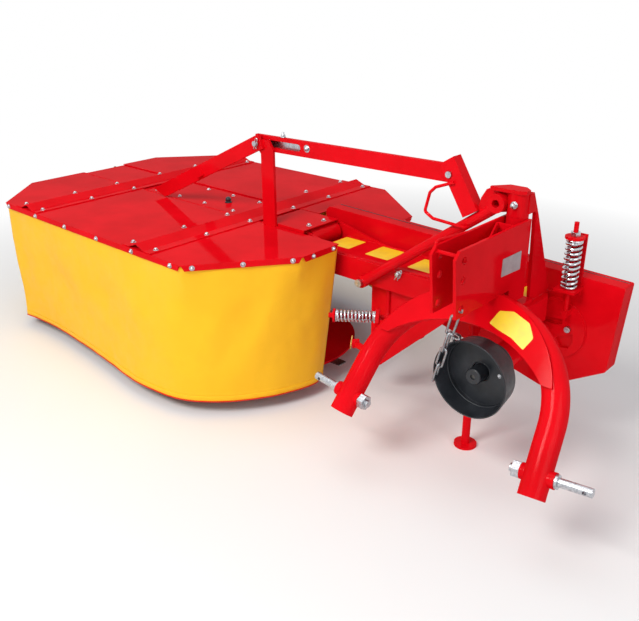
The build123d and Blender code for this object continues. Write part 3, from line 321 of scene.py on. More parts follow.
# %% Slots to finishes
SLOT_FINISH = {
    "red_paint": red,
    "zinc_steel": zinc,
    "knife_steel": knife_steel,
    "splined_steel": stub_steel,
    "black_guard": black,
    "skid_steel": skid_finish,
}
for subpart in frame["record"]["subparts"]:
    finish = SLOT_FINISH.get(subpart["material_slot"])
    if finish:
        mesh = nodes[subpart["node"]].data
        mesh.materials.clear()
        mesh.materials.append(finish)
nodes["catch_rod"].data.materials[0] = red      # the one rod that is enamelled over its plating
print("slots dressed:", sorted(SLOT_FINISH))

# %% [markdown]
# ## From a mesh to a piece
# A mesh becomes a finished piece once it has its material, its smooth or flat faces and the body that it
# rides. A bmesh is merged and turned outwards first, so that light meets every face from its right side.

# %% Piece helpers


def to_piece(name, mesh, material, body, smooth=True):
    if material and not mesh.materials:
        mesh.materials.append(material)
    for face in mesh.polygons:
        face.use_smooth = smooth
    piece = bpy.data.objects.new(name, mesh)
    bpy.context.scene.collection.objects.link(piece)
    if body:
        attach(piece, body)
    return piece


def from_bmesh(name, shape, material, body, smooth=True):
    bmesh.ops.remove_doubles(shape, verts=shape.verts, dist=1e-6)
    bmesh.ops.recalc_face_normals(shape, faces=shape.faces)
    mesh = bpy.data.meshes.new(name)
    shape.to_mesh(mesh)
    shape.free()
    return to_piece(name, mesh, material, body, smooth)


def sharpen(piece, angle=35):
    """Keep corners crisper than `angle` degrees and smooth the rest."""
    piece.data.set_sharp_from_angle(angle=math.radians(angle))
    return piece


print("piece helpers ready")

# %% [markdown]
# ## Where things are
# The machine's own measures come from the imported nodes. A few corners of the cover sheets are sizes of
# their own, so they are named here once and every bolt, seam and strip of cloth follows them.

# %% Measures from the frame
cover_low = Vector(map(min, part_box("cover_front")[0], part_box("cover_rear")[0]))
cover_high = Vector(map(max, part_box("cover_front")[1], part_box("cover_rear")[1]))
cover_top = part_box("cover_front")[1].z
OUTER_FRONT_CUT = (250 * MM, 269 * MM)
INNER_FRONT_CUT = (272 * MM, 364 * MM)
OUTER_REAR_CUT = (247 * MM, 287 * MM)
INNER_REAR_CUT = (363 * MM, 278 * MM)
left, right, near, far = cover_low.x, cover_high.x, cover_low.y, cover_high.y
COVER_OUTLINE = [
    Vector((right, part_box("cover_front")[1].y)),
    Vector((right, near + INNER_FRONT_CUT[1])),
    Vector((right - INNER_FRONT_CUT[0], near)),
    Vector((left + OUTER_FRONT_CUT[0], near)),
    Vector((left, near + OUTER_FRONT_CUT[1])),
    Vector((left, far - OUTER_REAR_CUT[1])),
    Vector((left + OUTER_REAR_CUT[0], far)),
    Vector((right - INNER_REAR_CUT[0], far)),
    Vector((right, far - INNER_REAR_CUT[1])),
    Vector((right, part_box("belt_lid")[1].y + 35 * MM)),
]
print("cover", [round(v, 3) for v in (right - left, far - near)], "top at", round(cover_top, 3))

# %% [markdown]
# ## The canvas apron
# The apron is one long strip of coated cloth, bolted inside the covers' folded edge and hanging almost to
# the ground. At the top it has to follow the sheet's straight sides. Lower down stiff cloth can't hold a
# sharp corner, so its hem swings round in one slow line of its own. The cloth between them is ruled:
# every place on the top line is joined to the place at the same share of the hem line, and the top line's
# corners are eased on the way down, so a fold starts at each corner of the cover and soon dies away.
# Small buckles and puckers under the bolts are then added along the cloth's own normal. No simulation is
# run: the cloth is so stiff that the bolts and the hem set its shape.

# %% Canvas measures
CANVAS_TOP = cover_top - 5 * MM
CANVAS_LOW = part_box("canvas")[0].z
CANVAS_REAR_LOW = CANVAS_LOW + 88 * MM
CANVAS_INSET = 7.5 * MM
CANVAS_THICK = 2.4 * MM
FRONT_STEPS, REAR_STEPS, DROP_STEPS = 180, 230, 36
EASE = 110 * MM             # how widely a corner's fold is eased
EASED_AT = 0.30             # how far down the cloth the eased line takes over, as a share of its drop
HITCH = Vector((1014.8, -482.5, 0)) * MM
# the hem in plan, x and y in mm from the middle of the hitch pins
# the cloth's one crisp corner parts the two lines
HEM_FRONT = ((-797, 349), (-781, 267), (-832, 97), (-928, -44), (-1061, -150), (-1224, -190), (-1432, -192),
             (-1729, -155), (-2039, -131), (-2199, -135), (-2337, -148))
HEM_REAR = ((-2337, -148), (-2400, -90), (-2510, 60), (-2530, 250), (-2533, 760), (-2470, 940), (-2330, 1075),
            (-2150, 1125), (-1700, 1135), (-1250, 1125), (-1050, 1060), (-900, 940), (-790, 830), (-760, 750))
CORNER = 3                  # the cover's corner over the crisp one
REAR_CORNERS = (5, 6)       # and the two between which the hem rises
print("canvas from", round(CANVAS_LOW, 3), "to", round(CANVAS_TOP, 3), "m")

# %% [markdown]
# A few helpers work on lines of points: one moves an outline inwards, one draws a smooth curve through
# points, one places points at even shares of a line, and one eases corners. The steps below use them for
# cloth, wire and chain.

# %% Lines to follow


def inset_outline(corners, inset):
    """Open outline moved inwards (to its left) by the inset, corner by corner."""
    moved = []
    for i, corner in enumerate(corners):
        runs = []
        if i:
            runs.append((corner - corners[i - 1]).normalized())
        if i + 1 < len(corners):
            runs.append((corners[i + 1] - corner).normalized())
        insides = [Vector((run.y, -run.x)) for run in runs]
        if len(insides) == 1:
            moved.append(corner + insides[0] * inset)
        else:
            half = (insides[0] + insides[1]).normalized()
            moved.append(corner + half * inset / half.dot(insides[0]))
    return moved


def smooth_line(points, per_span=16):
    """Dense smooth curve through the given points."""
    ends = [points[0] * 2 - points[1], *points, points[-1] * 2 - points[-2]]
    line = []
    for a, b, c, d in zip(ends, ends[1:], ends[2:], ends[3:]):
        for k in range(per_span):
            t = k / per_span
            line.append(0.5 * (2 * b + (c - a) * t + (2 * a - 5 * b + 4 * c - d) * t ** 2
                               + (3 * b - a - 3 * c + d) * t ** 3))
    return [*line, points[-1]]


def line_runs(line):
    """How far along a line each of its points is."""
    runs = [0.0]
    for a, b in zip(line, line[1:]):
        runs.append(runs[-1] + (b - a).length)
    return runs


def at_shares(line, steps):
    """Places at even shares of a line's length."""
    runs = line_runs(line)
    places, i = [], 0
    for k in range(steps + 1):
        goal = runs[-1] * k / steps
        while i < len(line) - 2 and runs[i + 1] < goal:
            i += 1
        places.append(line[i].lerp(line[i + 1], min(1.0, (goal - runs[i]) / (runs[i + 1] - runs[i]))))
    return places


def eased(line, reach):
    """The line with its corners eased: each place is the mean of those within `reach`, less near its ends."""
    far_off = round(reach / (line[1] - line[0]).length)
    places = []
    for i in range(len(line)):
        half = min(i, len(line) - 1 - i, far_off)
        close_by = line[i - half:i + half + 1]
        places.append(sum(close_by, Vector((0, 0))) / len(close_by))
    return places


def in_plan(points):
    return [Vector((x, y)) * MM + HITCH.xy for x, y in points]


print("line helpers ready")

# %% [markdown]
# The top line follows the covers and the hem line goes its own way, in two stretches that meet at the
# cloth's crisp corner. Both have the same count of places, so that each place of one belongs to one of
# the other.

# %% Canvas top and hem lines
canvas_corners = inset_outline(COVER_OUTLINE, CANVAS_INSET)
top_front = at_shares(canvas_corners[:CORNER + 1], FRONT_STEPS)
top_rear = at_shares(canvas_corners[CORNER:], REAR_STEPS)
top_line = top_front[:-1] + top_rear
eased_line = eased(eased(top_front, EASE), EASE)[:-1] + eased(eased(top_rear, EASE), EASE)
hem_line = (at_shares(smooth_line(in_plan(HEM_FRONT)), FRONT_STEPS)[:-1]
            + at_shares(smooth_line(in_plan(HEM_REAR)), REAR_STEPS))
corner_runs = line_runs(canvas_corners)
canvas_runs = line_runs(top_line)
canvas_run = canvas_runs[-1]


def hem_level(run):
    """Height of the hem: low in front, stepped up along the rear corner cut."""
    start, end = (corner_runs[i] for i in REAR_CORNERS)
    share = min(1.0, max(0.0, (run - start) / (end - start)))
    return CANVAS_LOW + (CANVAS_REAR_LOW - CANVAS_LOW) * share


hem_levels = [hem_level(run) for run in canvas_runs]
hang = CANVAS_TOP - CANVAS_LOW
print("canvas runs", round(canvas_run, 2), "m round the covers and hangs", round(hang, 3), "m")

# %% [markdown]
# The cloth's waves are sines and noise on its own two measures, the run along it and the drop down it.
# Slow waves grow towards the free hem, slanted folds run from the bolts, finer ones cross them, and noise
# decides where each kind shows, so that no two panels look alike. They fade at the top, where only small
# pulls under the bolts are left, and grow calmer towards the stitched hem.

# %% Canvas waves
BOLT_PITCH = 250 * MM
# heights of the cloth's waves
SLOW_WAVE, SLANT_FOLD, CROSS_FOLD = 5.5 * MM, 9.5 * MM, 4.2 * MM
BOLT_PULL, FINE_CREASE, HEM_PUCKER = 4.8 * MM, 6.2 * MM, 6.0 * MM
PUCKER_LOW, PUCKER_MIDDLE, PUCKER_REACH = 0.80, 0.91, 0.09      # the band of drops that puckers


def uneven(along, down, seed):
    """Smooth noise about 0, the same on every run."""
    return noise.noise(Vector((along, down, seed)))


def buckles(run, drop):
    """How far the cloth stands off its ruled shape, in metres, `run` along it and `drop` (0 to 1) down it."""
    free = min(1.0, drop * 2.2) * min(1.0, 0.45 + (1 - drop) * 4)
    belly = math.sin(math.pi * min(1.0, 0.15 + drop)) ** 2
    slow = SLOW_WAVE * math.sin(8.3 * run + 0.6 + 1.2 * drop) * drop
    slant = SLANT_FOLD * math.sin(13 * run + 6.0 * drop) * belly
    cross = CROSS_FOLD * math.sin(31 * run - 8 * drop + 1.7) * math.sin(math.pi * drop)
    pulls = BOLT_PULL * math.cos(2 * math.pi * run / BOLT_PITCH) * (1 - drop) ** 5 * min(1.0, drop * 14)
    patch = uneven(run * 2.1, drop * 1.5, 5.3)
    fine = FINE_CREASE * (uneven(run * 6, drop * 3, 3.7) + 0.4 * uneven(run * 17, drop * 8, 8.1))
    near_hem = max(0.0, (drop - PUCKER_LOW) / (1 - PUCKER_LOW))
    near_hem *= max(0.0, 1 - abs(drop - PUCKER_MIDDLE) / PUCKER_REACH)
    puckered = max(0.0, 0.25 + uneven(run * 1.7, 2.2, 0.4))
    puckers = HEM_PUCKER * math.sin(47 * run + 16 * drop) * near_hem * puckered
    return (slow + slant * (0.5 + patch) + cross * (0.4 - patch) + fine) * free + pulls + puckers


highest = max(abs(buckles(run, 0.5)) for run in canvas_runs)
print("buckles reach", round(highest / MM, 1), "mm half way down")

# %% [markdown]
# The sheet is a grid of points, one row for each drop. A row starts from the top line, takes over the
# eased line a little further down and nears the hem line as it falls. The grid becomes one sheet without
# thickness, and a Solidify modifier gives it a wall.

# %% Cloth from rows
END_REACH, END_SHARE = 120 * MM, 0.15       # near its two ends the cloth keeps only a share of its waves
FLARE = 1.1                                 # over 1 the cloth hangs steeper at its top than lower down


def canvas_rows(drops, stand_off=0.0):
    """Rows of points of the hanging cloth at the given drops, each from 0 at the top to 1 at the hem."""
    rows = []
    for drop in drops:
        ease = min(1.0, drop / EASED_AT)
        ease = ease * ease * (3 - 2 * ease)
        plan = [top.lerp(round_top, ease).lerp(low, drop ** FLARE)
                for top, round_top, low in zip(top_line, eased_line, hem_line)]
        row = []
        for i, (spot, run, level) in enumerate(zip(plan, canvas_runs, hem_levels)):
            ahead = plan[min(i + 1, len(plan) - 1)] - plan[max(i - 1, 0)]
            outward = Vector((-ahead.y, ahead.x)).normalized()
            kept = max(END_SHARE, min(1.0, run / END_REACH, (canvas_run - run) / END_REACH))
            spot = spot + outward * (buckles(run, drop) * kept + stand_off)
            row.append(Vector((spot.x, spot.y, CANVAS_TOP + (level - CANVAS_TOP) * drop)))
        rows.append(row)
    return rows


def cloth_from_rows(name, rows, thick, material, body):
    """Sheet through rows of points with a wall thickness; u runs along the cloth and v up it, in metres."""
    shape = bmesh.new()
    uv = shape.loops.layers.uv.new("cloth")
    grid = [[shape.verts.new(p) for p in row] for row in rows]
    runs = line_runs(rows[0])
    for j in range(len(rows) - 1):
        for i in range(len(rows[0]) - 1):
            corners = ((j, i), (j, i + 1), (j + 1, i + 1), (j + 1, i))
            face = shape.faces.new([grid[a][b] for a, b in corners])
            for loop, (a, b) in zip(face.loops, corners):
                loop[uv].uv = (runs[b], rows[a][b].z)
    mesh = bpy.data.meshes.new(name)
    shape.normal_update()
    shape.to_mesh(mesh)
    shape.free()
    piece = to_piece(name, mesh, material, body)
    wall = piece.modifiers.new("wall", "SOLIDIFY")
    wall.thickness = thick
    wall.offset = 0.0
    return piece


print("cloth helpers ready")

# %% [markdown]
# The coated cloth has a plain weave that shows through its plastic skin as a fine grid, and a soft,
# slightly uneven sheen. The weave is two wave textures across each other, read from the cloth's own run
# and height so that it turns the corners with the cloth.

# %% Coated cloth


def coated_cloth(name, colour, shade):
    finish = Finish(name, colour, 0.46, Sheen_Weight=0.03, Sheen_Roughness=0.5, Specular_IOR_Level=0.15)
    weave_place = finish.add("ShaderNodeUVMap", uv_map="cloth").outputs["UV"]
    threads = []
    for direction in ("X", "Y"):
        wave = finish.add("ShaderNodeTexWave", bands_direction=direction)
        wave.inputs["Scale"].default_value = 160
        wave.inputs["Distortion"].default_value = 0.6
        finish.link(weave_place, wave.inputs["Vector"])
        threads.append(wave.outputs["Fac"])
    weave = finish.math("MULTIPLY", *threads)
    cloudy = finish.ramp(finish.noise(3.5, 4), 0.35, 0.75)
    grime = finish.math("MULTIPLY", finish.ramp(finish.noise(16, 6, 0.65), 0.52, 0.80), 0.12)
    colour_out = finish.mix(grime, finish.mix(cloudy, colour, shade), tuple(c * 0.72 for c in shade))
    finish.colour(colour_out)
    finish.roughness(finish.ramp(finish.noise(22, 4), 0.3, 0.7, 0.38, 0.56))
    creases = finish.math("MULTIPLY", finish.noise(11, 3, 0.5, (1, 1, 0.5)), 12.0)
    finish.bump(finish.math("ADD", weave, creases), 0.00022)
    return finish.material


canvas_cloth = coated_cloth("coated yellow cloth", (0.98, 0.55, 0.018), (0.95, 0.50, 0.014))
piping_cloth = coated_cloth("red piping", (0.72, 0.02, 0.01), (0.55, 0.012, 0.008))
print("cloths ready")

# %% [markdown]
# ## Rings, walls and tubes
# Tubes, rims, films and turned pieces are all rings of vertices with walls between them, so a ring and a
# wall have a short helper each. A tube carries its ring along a line and turns it just enough to stay
# square to the line, so that it never twists.

# %% Tube helpers


def ring_of(shape, centre, aside, over, radius, sides):
    """New vertices on a circle that lies in the plane of two square directions."""
    turns = [2 * math.pi * k / sides for k in range(sides)]
    return [shape.verts.new(centre + radius * (math.cos(t) * aside + math.sin(t) * over)) for t in turns]


def join_rings(shape, first, second):
    """Wall of four-sided faces between two rings with the same count of vertices."""
    for i in range(len(first)):
        k = (i + 1) % len(first)
        shape.faces.new((first[i], first[k], second[k], second[i]))


def tube_along(name, path, radius, material, body, sides=8):
    """Round mesh tube along a list of points, with flat caps."""
    shape = bmesh.new()
    rings = []
    aside = (path[1] - path[0]).orthogonal()
    for i, point in enumerate(path):
        ahead = (path[min(i + 1, len(path) - 1)] - path[max(i - 1, 0)]).normalized()
        aside = (aside - aside.dot(ahead) * ahead).normalized()
        over = aside.cross(ahead)
        rings.append(ring_of(shape, point, aside, over, radius, sides))
    for first, second in zip(rings, rings[1:]):
        join_rings(shape, first, second)
    shape.faces.new(rings[0])
    shape.faces.new(rings[-1][::-1])
    return from_bmesh(name, shape, material, body)


print("tube helpers ready")

# %% [markdown]
# The apron, its hem and its piping are three pieces from the same rows. The hem is the folded-over lowest
# strip, a little proud of the cloth, and the piping is a thin red edging sewn along it. The sheet's flat
# size is worked out and printed, because cloth has to be cut before it's hung.

# %% Canvas pieces
HEM_HEIGHT = 26 * MM
HEM_THICK, HEM_PROUD = 1.4 * MM, 0.9 * MM
PIPING_RADIUS, PIPING_PROUD = 3 * MM, 1.2 * MM
depths = [j / DROP_STEPS for j in range(DROP_STEPS + 1)]
canvas_grid = canvas_rows(depths)
canvas = cloth_from_rows("canvas_apron", canvas_grid, CANVAS_THICK, canvas_cloth, "cutter")
hem_depths = [1 - HEM_HEIGHT / hang * (1 - k / 3) for k in range(4)]
hem_rows = canvas_rows(hem_depths, CANVAS_THICK / 2 + HEM_PROUD)
hem = cloth_from_rows("canvas_hem", hem_rows, HEM_THICK, canvas_cloth, "cutter")
piping_path = canvas_rows([1.0], CANVAS_THICK / 2 + PIPING_PROUD)[0]
piping = tube_along("canvas_piping", piping_path, PIPING_RADIUS, piping_cloth, "cutter")
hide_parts("canvas")
spans = zip(canvas_runs, canvas_runs[1:], hem_levels, hem_levels[1:])
canvas_area = sum((b - a) * (CANVAS_TOP - (low + high) / 2) for a, b, low, high in spans)
print("canvas flat size", round(canvas_run, 2), "by", round(hang, 3), "m, area", round(canvas_area, 2), "m2")

# %% [markdown]
# ## A small kit for Geometry Nodes
# A tree is built from nodes and links like any other. It gets named inputs, so that one tree serves many
# sizes, and runs as a modifier on a carrier mesh, which has only a vertex for each place. The result is
# baked to a plain mesh and the modifier is dropped, because instances don't survive an export.

# %% Tree helpers


def points_mesh(name, places, values, label="facing"):
    """Carrier mesh: one vertex per place, with the way its piece faces, or its turn, as an attribute."""
    mesh = bpy.data.meshes.new(name)
    mesh.from_pydata([tuple(p) for p in places], [], [])
    attribute = mesh.attributes.new(label, "FLOAT_VECTOR", "POINT")
    for item, value in zip(attribute.data, values):
        item.vector = value
    return mesh


class Tree:
    """A Geometry Nodes tree with named inputs, made in order."""

    def __init__(self, name, **inputs):
        self.tree = bpy.data.node_groups.new(name, "GeometryNodeTree")
        self.tree.interface.new_socket("Geometry", in_out="INPUT", socket_type="NodeSocketGeometry")
        self.tree.interface.new_socket("Geometry", in_out="OUTPUT", socket_type="NodeSocketGeometry")
        self.sockets = {}
        for label, value in inputs.items():
            kind = "NodeSocketInt" if isinstance(value, int) else "NodeSocketFloat"
            socket = self.tree.interface.new_socket(label, in_out="INPUT", socket_type=kind)
            socket.default_value = value
            self.sockets[label] = socket.identifier
        self.start = self.tree.nodes.new("NodeGroupInput")
        self.end = self.tree.nodes.new("NodeGroupOutput")

    def size(self, label):
        return self.start.outputs[label]

    def add(self, kind, links=None, **values):
        made = self.tree.nodes.new(kind)
        for name, value in values.items():
            if name in made.inputs:
                made.inputs[name].default_value = value
            else:
                setattr(made, name, value)
        for name, output in (links or {}).items():
            self.tree.links.new(output, made.inputs[name])
        return made

    def wire(self, curve, radius):
        """Round wire along a curve, as thick as the named input says."""
        profile = self.add("GeometryNodeCurvePrimitiveCircle", {"Radius": self.size(radius)}, Resolution=10)
        return self.add("GeometryNodeCurveToMesh", {"Curve": curve, "Profile Curve": profile.outputs[0]})

    def copies(self, shape, **turned):
        """The shape at every vertex of the carrier mesh."""
        points = self.add("GeometryNodeMeshToPoints", {"Mesh": self.start.outputs[0]})
        links = {"Points": points.outputs[0], "Instance": shape, **turned}
        return self.add("GeometryNodeInstanceOnPoints", links).outputs[0]

    def moved(self, geometry, **changes):
        """The geometry scaled or shifted by the given outputs."""
        return self.add("GeometryNodeTransform", {"Geometry": geometry, **changes})

    def carried(self, label):
        """The vector that each vertex of the carrier mesh brings along."""
        return self.add("GeometryNodeInputNamedAttribute", data_type="FLOAT_VECTOR", Name=label).outputs[0]

    def finish(self, geometry, material):
        real = self.add("GeometryNodeRealizeInstances", {"Geometry": geometry})
        painted = self.add("GeometryNodeSetMaterial", {"Geometry": real.outputs[0]}, Material=material)
        self.tree.links.new(painted.outputs[0], self.end.inputs["Geometry"])


def bake_tree(name, carrier, tree, body, slot, material, **sizes):
    """Run a tree on a carrier mesh and keep the result as one plain mesh."""
    holder = bpy.data.objects.new(name + "_carrier", carrier)
    bpy.context.scene.collection.objects.link(holder)
    modifier = holder.modifiers.new("tree", "NODES")
    modifier.node_group = tree.tree
    for label, value in sizes.items():
        modifier[tree.sockets[label]] = value
    bpy.context.view_layer.update()
    mesh = bpy.data.meshes.new_from_object(holder.evaluated_get(bpy.context.evaluated_depsgraph_get()))
    mesh.name = name
    bpy.data.objects.remove(holder)
    mesh.materials.clear()
    mesh.materials.append(material)
    return sharpen(to_piece(name, mesh, material, body))


print("tree helpers ready")

# %% [markdown]
# ## Bolts that hold it all together
# Dozens of zinc bolts dot the covers: domed nuts along the canvas edge, hex heads on the ridges and lids.
# They are all one shape at several places, which is what Geometry Nodes do best: a carrier mesh has one
# vertex per bolt and the way it faces, and the tree turns a washer, a hexagon and a dome to that facing.

# %% Bolt tree
WASHER_THICK = 1.6 * MM
DOME_WIDTH = 0.86           # the dome's radius as a share of the head's
FULL_TURN = 6.28            # radians; each bolt is spun by a random share of it, as wrenches leave them


def bolt_tree():
    tree = Tree("bolt", **{"Head Radius": 0.008, "Head Height": 0.006, "Washer Radius": 0.010, "Dome": 0.5})
    washer = tree.add("GeometryNodeMeshCylinder", {"Radius": tree.size("Washer Radius")},
                      Vertices=20, Depth=WASHER_THICK)
    head = tree.add("GeometryNodeMeshCylinder",
                    {"Radius": tree.size("Head Radius"), "Depth": tree.size("Head Height")}, Vertices=6)
    lift = tree.add("ShaderNodeMath", {0: tree.size("Head Height")}, operation="MULTIPLY")
    lift.inputs[1].default_value = 0.5
    raise_head = tree.add("ShaderNodeCombineXYZ", {"Z": lift.outputs[0]})
    head_up = tree.moved(head.outputs["Mesh"], Translation=raise_head.outputs[0])
    ball = tree.add("GeometryNodeMeshUVSphere", {"Radius": tree.size("Head Radius")}, Segments=14, Rings=8)
    flatten = tree.add("ShaderNodeCombineXYZ", {"Z": tree.size("Dome")}, X=DOME_WIDTH, Y=DOME_WIDTH)
    raise_ball = tree.add("ShaderNodeCombineXYZ", {"Z": tree.size("Head Height")})
    ball_up = tree.moved(ball.outputs["Mesh"], Scale=flatten.outputs[0], Translation=raise_ball.outputs[0])
    whole = tree.add("GeometryNodeJoinGeometry")
    for made in (washer, head_up, ball_up):
        tree.tree.links.new(made.outputs[0], whole.inputs[0])
    turn = tree.add("FunctionNodeAlignEulerToVector", {"Vector": tree.carried("facing")}, axis="Z")
    spin = tree.add("FunctionNodeRandomValue", data_type="FLOAT")
    spin.inputs[3].default_value = FULL_TURN
    spin.inputs["Seed"].default_value = 7
    spun = tree.add("ShaderNodeCombineXYZ", {"Z": spin.outputs[1]})
    both = tree.add("FunctionNodeRotateEuler",
                    {"Rotation": turn.outputs[0], "Rotate By": spun.outputs[0]}, space="LOCAL")
    tree.finish(tree.copies(whole.outputs[0], Rotation=both.outputs[0]), zinc)
    return tree


BOLTS = bolt_tree()


def bolts(name, places, facings, body, head=8 * MM, height=6 * MM, washer=10.5 * MM, dome=0.5):
    sizes = {"Head Radius": head, "Head Height": height, "Washer Radius": washer, "Dome": dome}
    carrier = points_mesh(name + "_points", places, facings)
    return bake_tree(name, carrier, BOLTS, body, "zinc_steel", zinc, **sizes)


print("bolt tree ready")

# %% [markdown]
# The canvas is held under the covers' folded edge by a row of domed bolts. They stand on each straight
# side of the outline, a count and two end distances per side, so they follow the cover when its size
# changes.

# %% Bolts along the canvas edge
EDGE_BOLT_DROP = 12 * MM
EDGE_BOLT_PROUD = 0.8 * MM
# bolts on each straight side: which side, how many, and how far the first and last stand from its ends, mm
EDGE_BOLTS = (
    (0, 2, 32, 56), (1, 3, 39, 44), (2, 6, 56, 29), (3, 2, 60, 60), (4, 4, 60, 60),
    (5, 2, 60, 60), (6, 6, 40, 40), (7, 3, 40, 40), (8, 1, 60, 60),
)
edge_places, edge_facings = [], []
for side, count, first, last in EDGE_BOLTS:
    a, b = COVER_OUTLINE[side], COVER_OUTLINE[side + 1]
    run = (b - a).normalized()
    outward = Vector((-run.y, run.x, 0))
    for k in range(count):
        share = 0.5 if count == 1 else k / (count - 1)
        spot = a + run * (first * MM + share * ((b - a).length - (first + last) * MM))
        edge_places.append(Vector((spot.x, spot.y, cover_top - EDGE_BOLT_DROP)) + outward * EDGE_BOLT_PROUD)
        edge_facings.append(outward)
bolts("cover_edge_bolts", edge_places, edge_facings, "cutter", 7.5 * MM, 4 * MM, 10 * MM, 0.75)
print(len(edge_places), "edge bolts")

# %% [markdown]
# The ridges on the covers are bolted down along both feet, and the hood, the strip between the covers and
# the belt lid each have a few bolts of their own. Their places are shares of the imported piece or
# distances from the hitch pins, and their facings say which way the heads look.

# %% Bolts on ridges, hood and belt lid
UP = Vector((0, 0, 1))
REARWARD = Vector((0, 1, 0))
RIDGE_BOLT_SHARES = (0.03, 0.22, 0.40, 0.60, 0.78, 0.97)
RIDGE_BOLT_ASIDE, RIDGE_FOOT = 72 * MM, 4 * MM
HOOD_BOLTS = ((0.86, 0.30), (0.86, 0.72))       # shares across and along the hood
# bolts on the strip between the two covers: across and back, mm from the middle of the hitch pins
STRIP_BOLTS = (
    (-1950, 427), (-1774, 427), (-1592, 427), (-1397, 427),
    (-1950, 597), (-1763, 597), (-1584, 597), (-1404, 597),
)
# bolts on the belt lid: shares of its width and height
LID_BOLTS = (
    (0.03, 0.93), (0.28, 0.90), (0.53, 0.88), (0.78, 0.87), (0.975, 0.85),
    (0.96, 0.36), (0.76, 0.16), (0.52, 0.27), (0.28, 0.42), (0.03, 0.62),
)
ridge_places = []
for node in ("ridge_inner", "ridge_outer"):
    low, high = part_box(node)
    middle = (low.x + high.x) / 2
    for share in RIDGE_BOLT_SHARES:
        for side in (-1, 1):
            spot = (middle + side * RIDGE_BOLT_ASIDE, low.y + share * (high.y - low.y), low.z + RIDGE_FOOT)
            ridge_places.append(Vector(spot))
low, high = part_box("gearbox_cover")
across, back = high.x - low.x, high.y - low.y
hood_places = [Vector((low.x + x * across, low.y + y * back, high.z)) for x, y in HOOD_BOLTS]
top_places = ridge_places + hood_places
bolts("ridge_and_hood_bolts", top_places, [UP] * len(top_places), "cutter")
strip_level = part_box("cover_strip")[1].z
strip_places = [Vector((x * MM + HITCH.x, y * MM + HITCH.y, strip_level)) for x, y in STRIP_BOLTS]
bolts("strip_bolts", strip_places, [UP] * len(strip_places), "cutter", 7 * MM, 4.5 * MM, 9.5 * MM)
low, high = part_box("belt_lid")
across, tall = high.x - low.x, high.z - low.z
lid_places = [Vector((low.x + x * across, high.y, low.z + z * tall)) for x, z in LID_BOLTS]
bolts("belt_lid_bolts", lid_places, [REARWARD] * len(lid_places), "carrier")
print(len(ridge_places), "ridge bolts,", len(strip_places), "strip bolts,", len(lid_places), "lid bolts")

# %% [markdown]
# ## Coil springs
# A compression spring is a wire on a helix whose pitch closes up at both ends, where the last coil lies
# on its seat. The helix is worked out point by point, and a tree joins the points to one curve and sweeps
# a round wire along it. The belt tensioner's spring stands upright between its plates.

# %% Springs
CLOSED_TURNS = 0.8


def coil_path(start, end, radius, turns, wire, per_turn=26):
    """Points on a helix from start to end, with most of a turn lying closed at each end."""
    axis = (end - start).normalized()
    aside = axis.orthogonal().normalized()
    over = axis.cross(aside)
    length = (end - start).length - 2 * wire
    points, total = [], int(turns * per_turn)
    for i in range(total + 1):
        turn = i / per_turn
        inner = min(max((turn - CLOSED_TURNS) / (turns - 2 * CLOSED_TURNS), 0), 1)
        along = wire + length * inner
        angle = 2 * math.pi * turn
        points.append(start + axis * along + radius * (math.cos(angle) * aside + math.sin(angle) * over))
    return points


def spring_tree():
    tree = Tree("coil spring wire", **{"Wire Radius": 0.003})
    line = tree.add("GeometryNodeMeshToCurve", {"Mesh": tree.start.outputs[0]})
    swept = tree.wire(line.outputs[0], "Wire Radius")
    swept.inputs["Fill Caps"].default_value = True
    tree.finish(swept.outputs[0], spring_steel)
    return tree


SPRING = spring_tree()


def spring(name, start, end, radius, turns, wire, body):
    points = coil_path(start, end, radius, turns, wire)
    carrier = bpy.data.meshes.new(name + "_line")
    carrier.from_pydata([tuple(p) for p in points], [(i, i + 1) for i in range(len(points) - 1)], [])
    return bake_tree(name, carrier, SPRING, body, "zinc_steel", spring_steel, **{"Wire Radius": wire})


TENSION_WIRE, TENSION_TURNS = 5.4 * MM, 11
low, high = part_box("tension_spring")
centre = (low + high) / 2
foot, head = (Vector((centre.x, centre.y, level)) for level in (low.z, high.z))
coil_radius = (high.x - low.x) / 2 - TENSION_WIRE
tension_coil = spring("tension_coil", foot, head, coil_radius, TENSION_TURNS, TENSION_WIRE, "carrier")
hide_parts("tension_spring")
print("tension spring", round(high.z - low.z, 3), "m long")

# %% [markdown]
# The breakaway catch has a spring of its own, which holds the carrier in line until something stops the
# bar. Its rod slants in plan, so the spring is laid along that slant through the middle of the packed
# spring.

# %% Catch spring
CATCH_TURN = math.radians(34.9)
CATCH_SPRING_LENGTH, CATCH_SPRING_RADIUS = 147 * MM, 18 * MM
CATCH_WIRE, CATCH_SPRING_TURNS = 4.2 * MM, 12.5
low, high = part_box("catch_spring")
half_catch = Vector((math.cos(CATCH_TURN), math.sin(CATCH_TURN), 0)) * CATCH_SPRING_LENGTH / 2
catch_middle = (low + high) / 2
catch_coil = spring("catch_coil", catch_middle - half_catch, catch_middle + half_catch, CATCH_SPRING_RADIUS,
                    CATCH_SPRING_TURNS, CATCH_WIRE, "hitch")
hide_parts("catch_spring")
print("catch spring", round(CATCH_SPRING_LENGTH, 3), "m long")

# %% [markdown]
# ## The guard's chain
# A welded long-link chain keeps the plastic guard from turning with the shaft. It hangs from a wire hook
# in the right cheek's lowest hole by one longer link, and ends at the guard's rim, with a short branch to
# the rim's top. Every other link lies a quarter turn round the chain from the one before. One tree takes
# a wire circle, pulls its halves apart into a link, and puts a copy at each place with its own turn.

# %% Chain tree


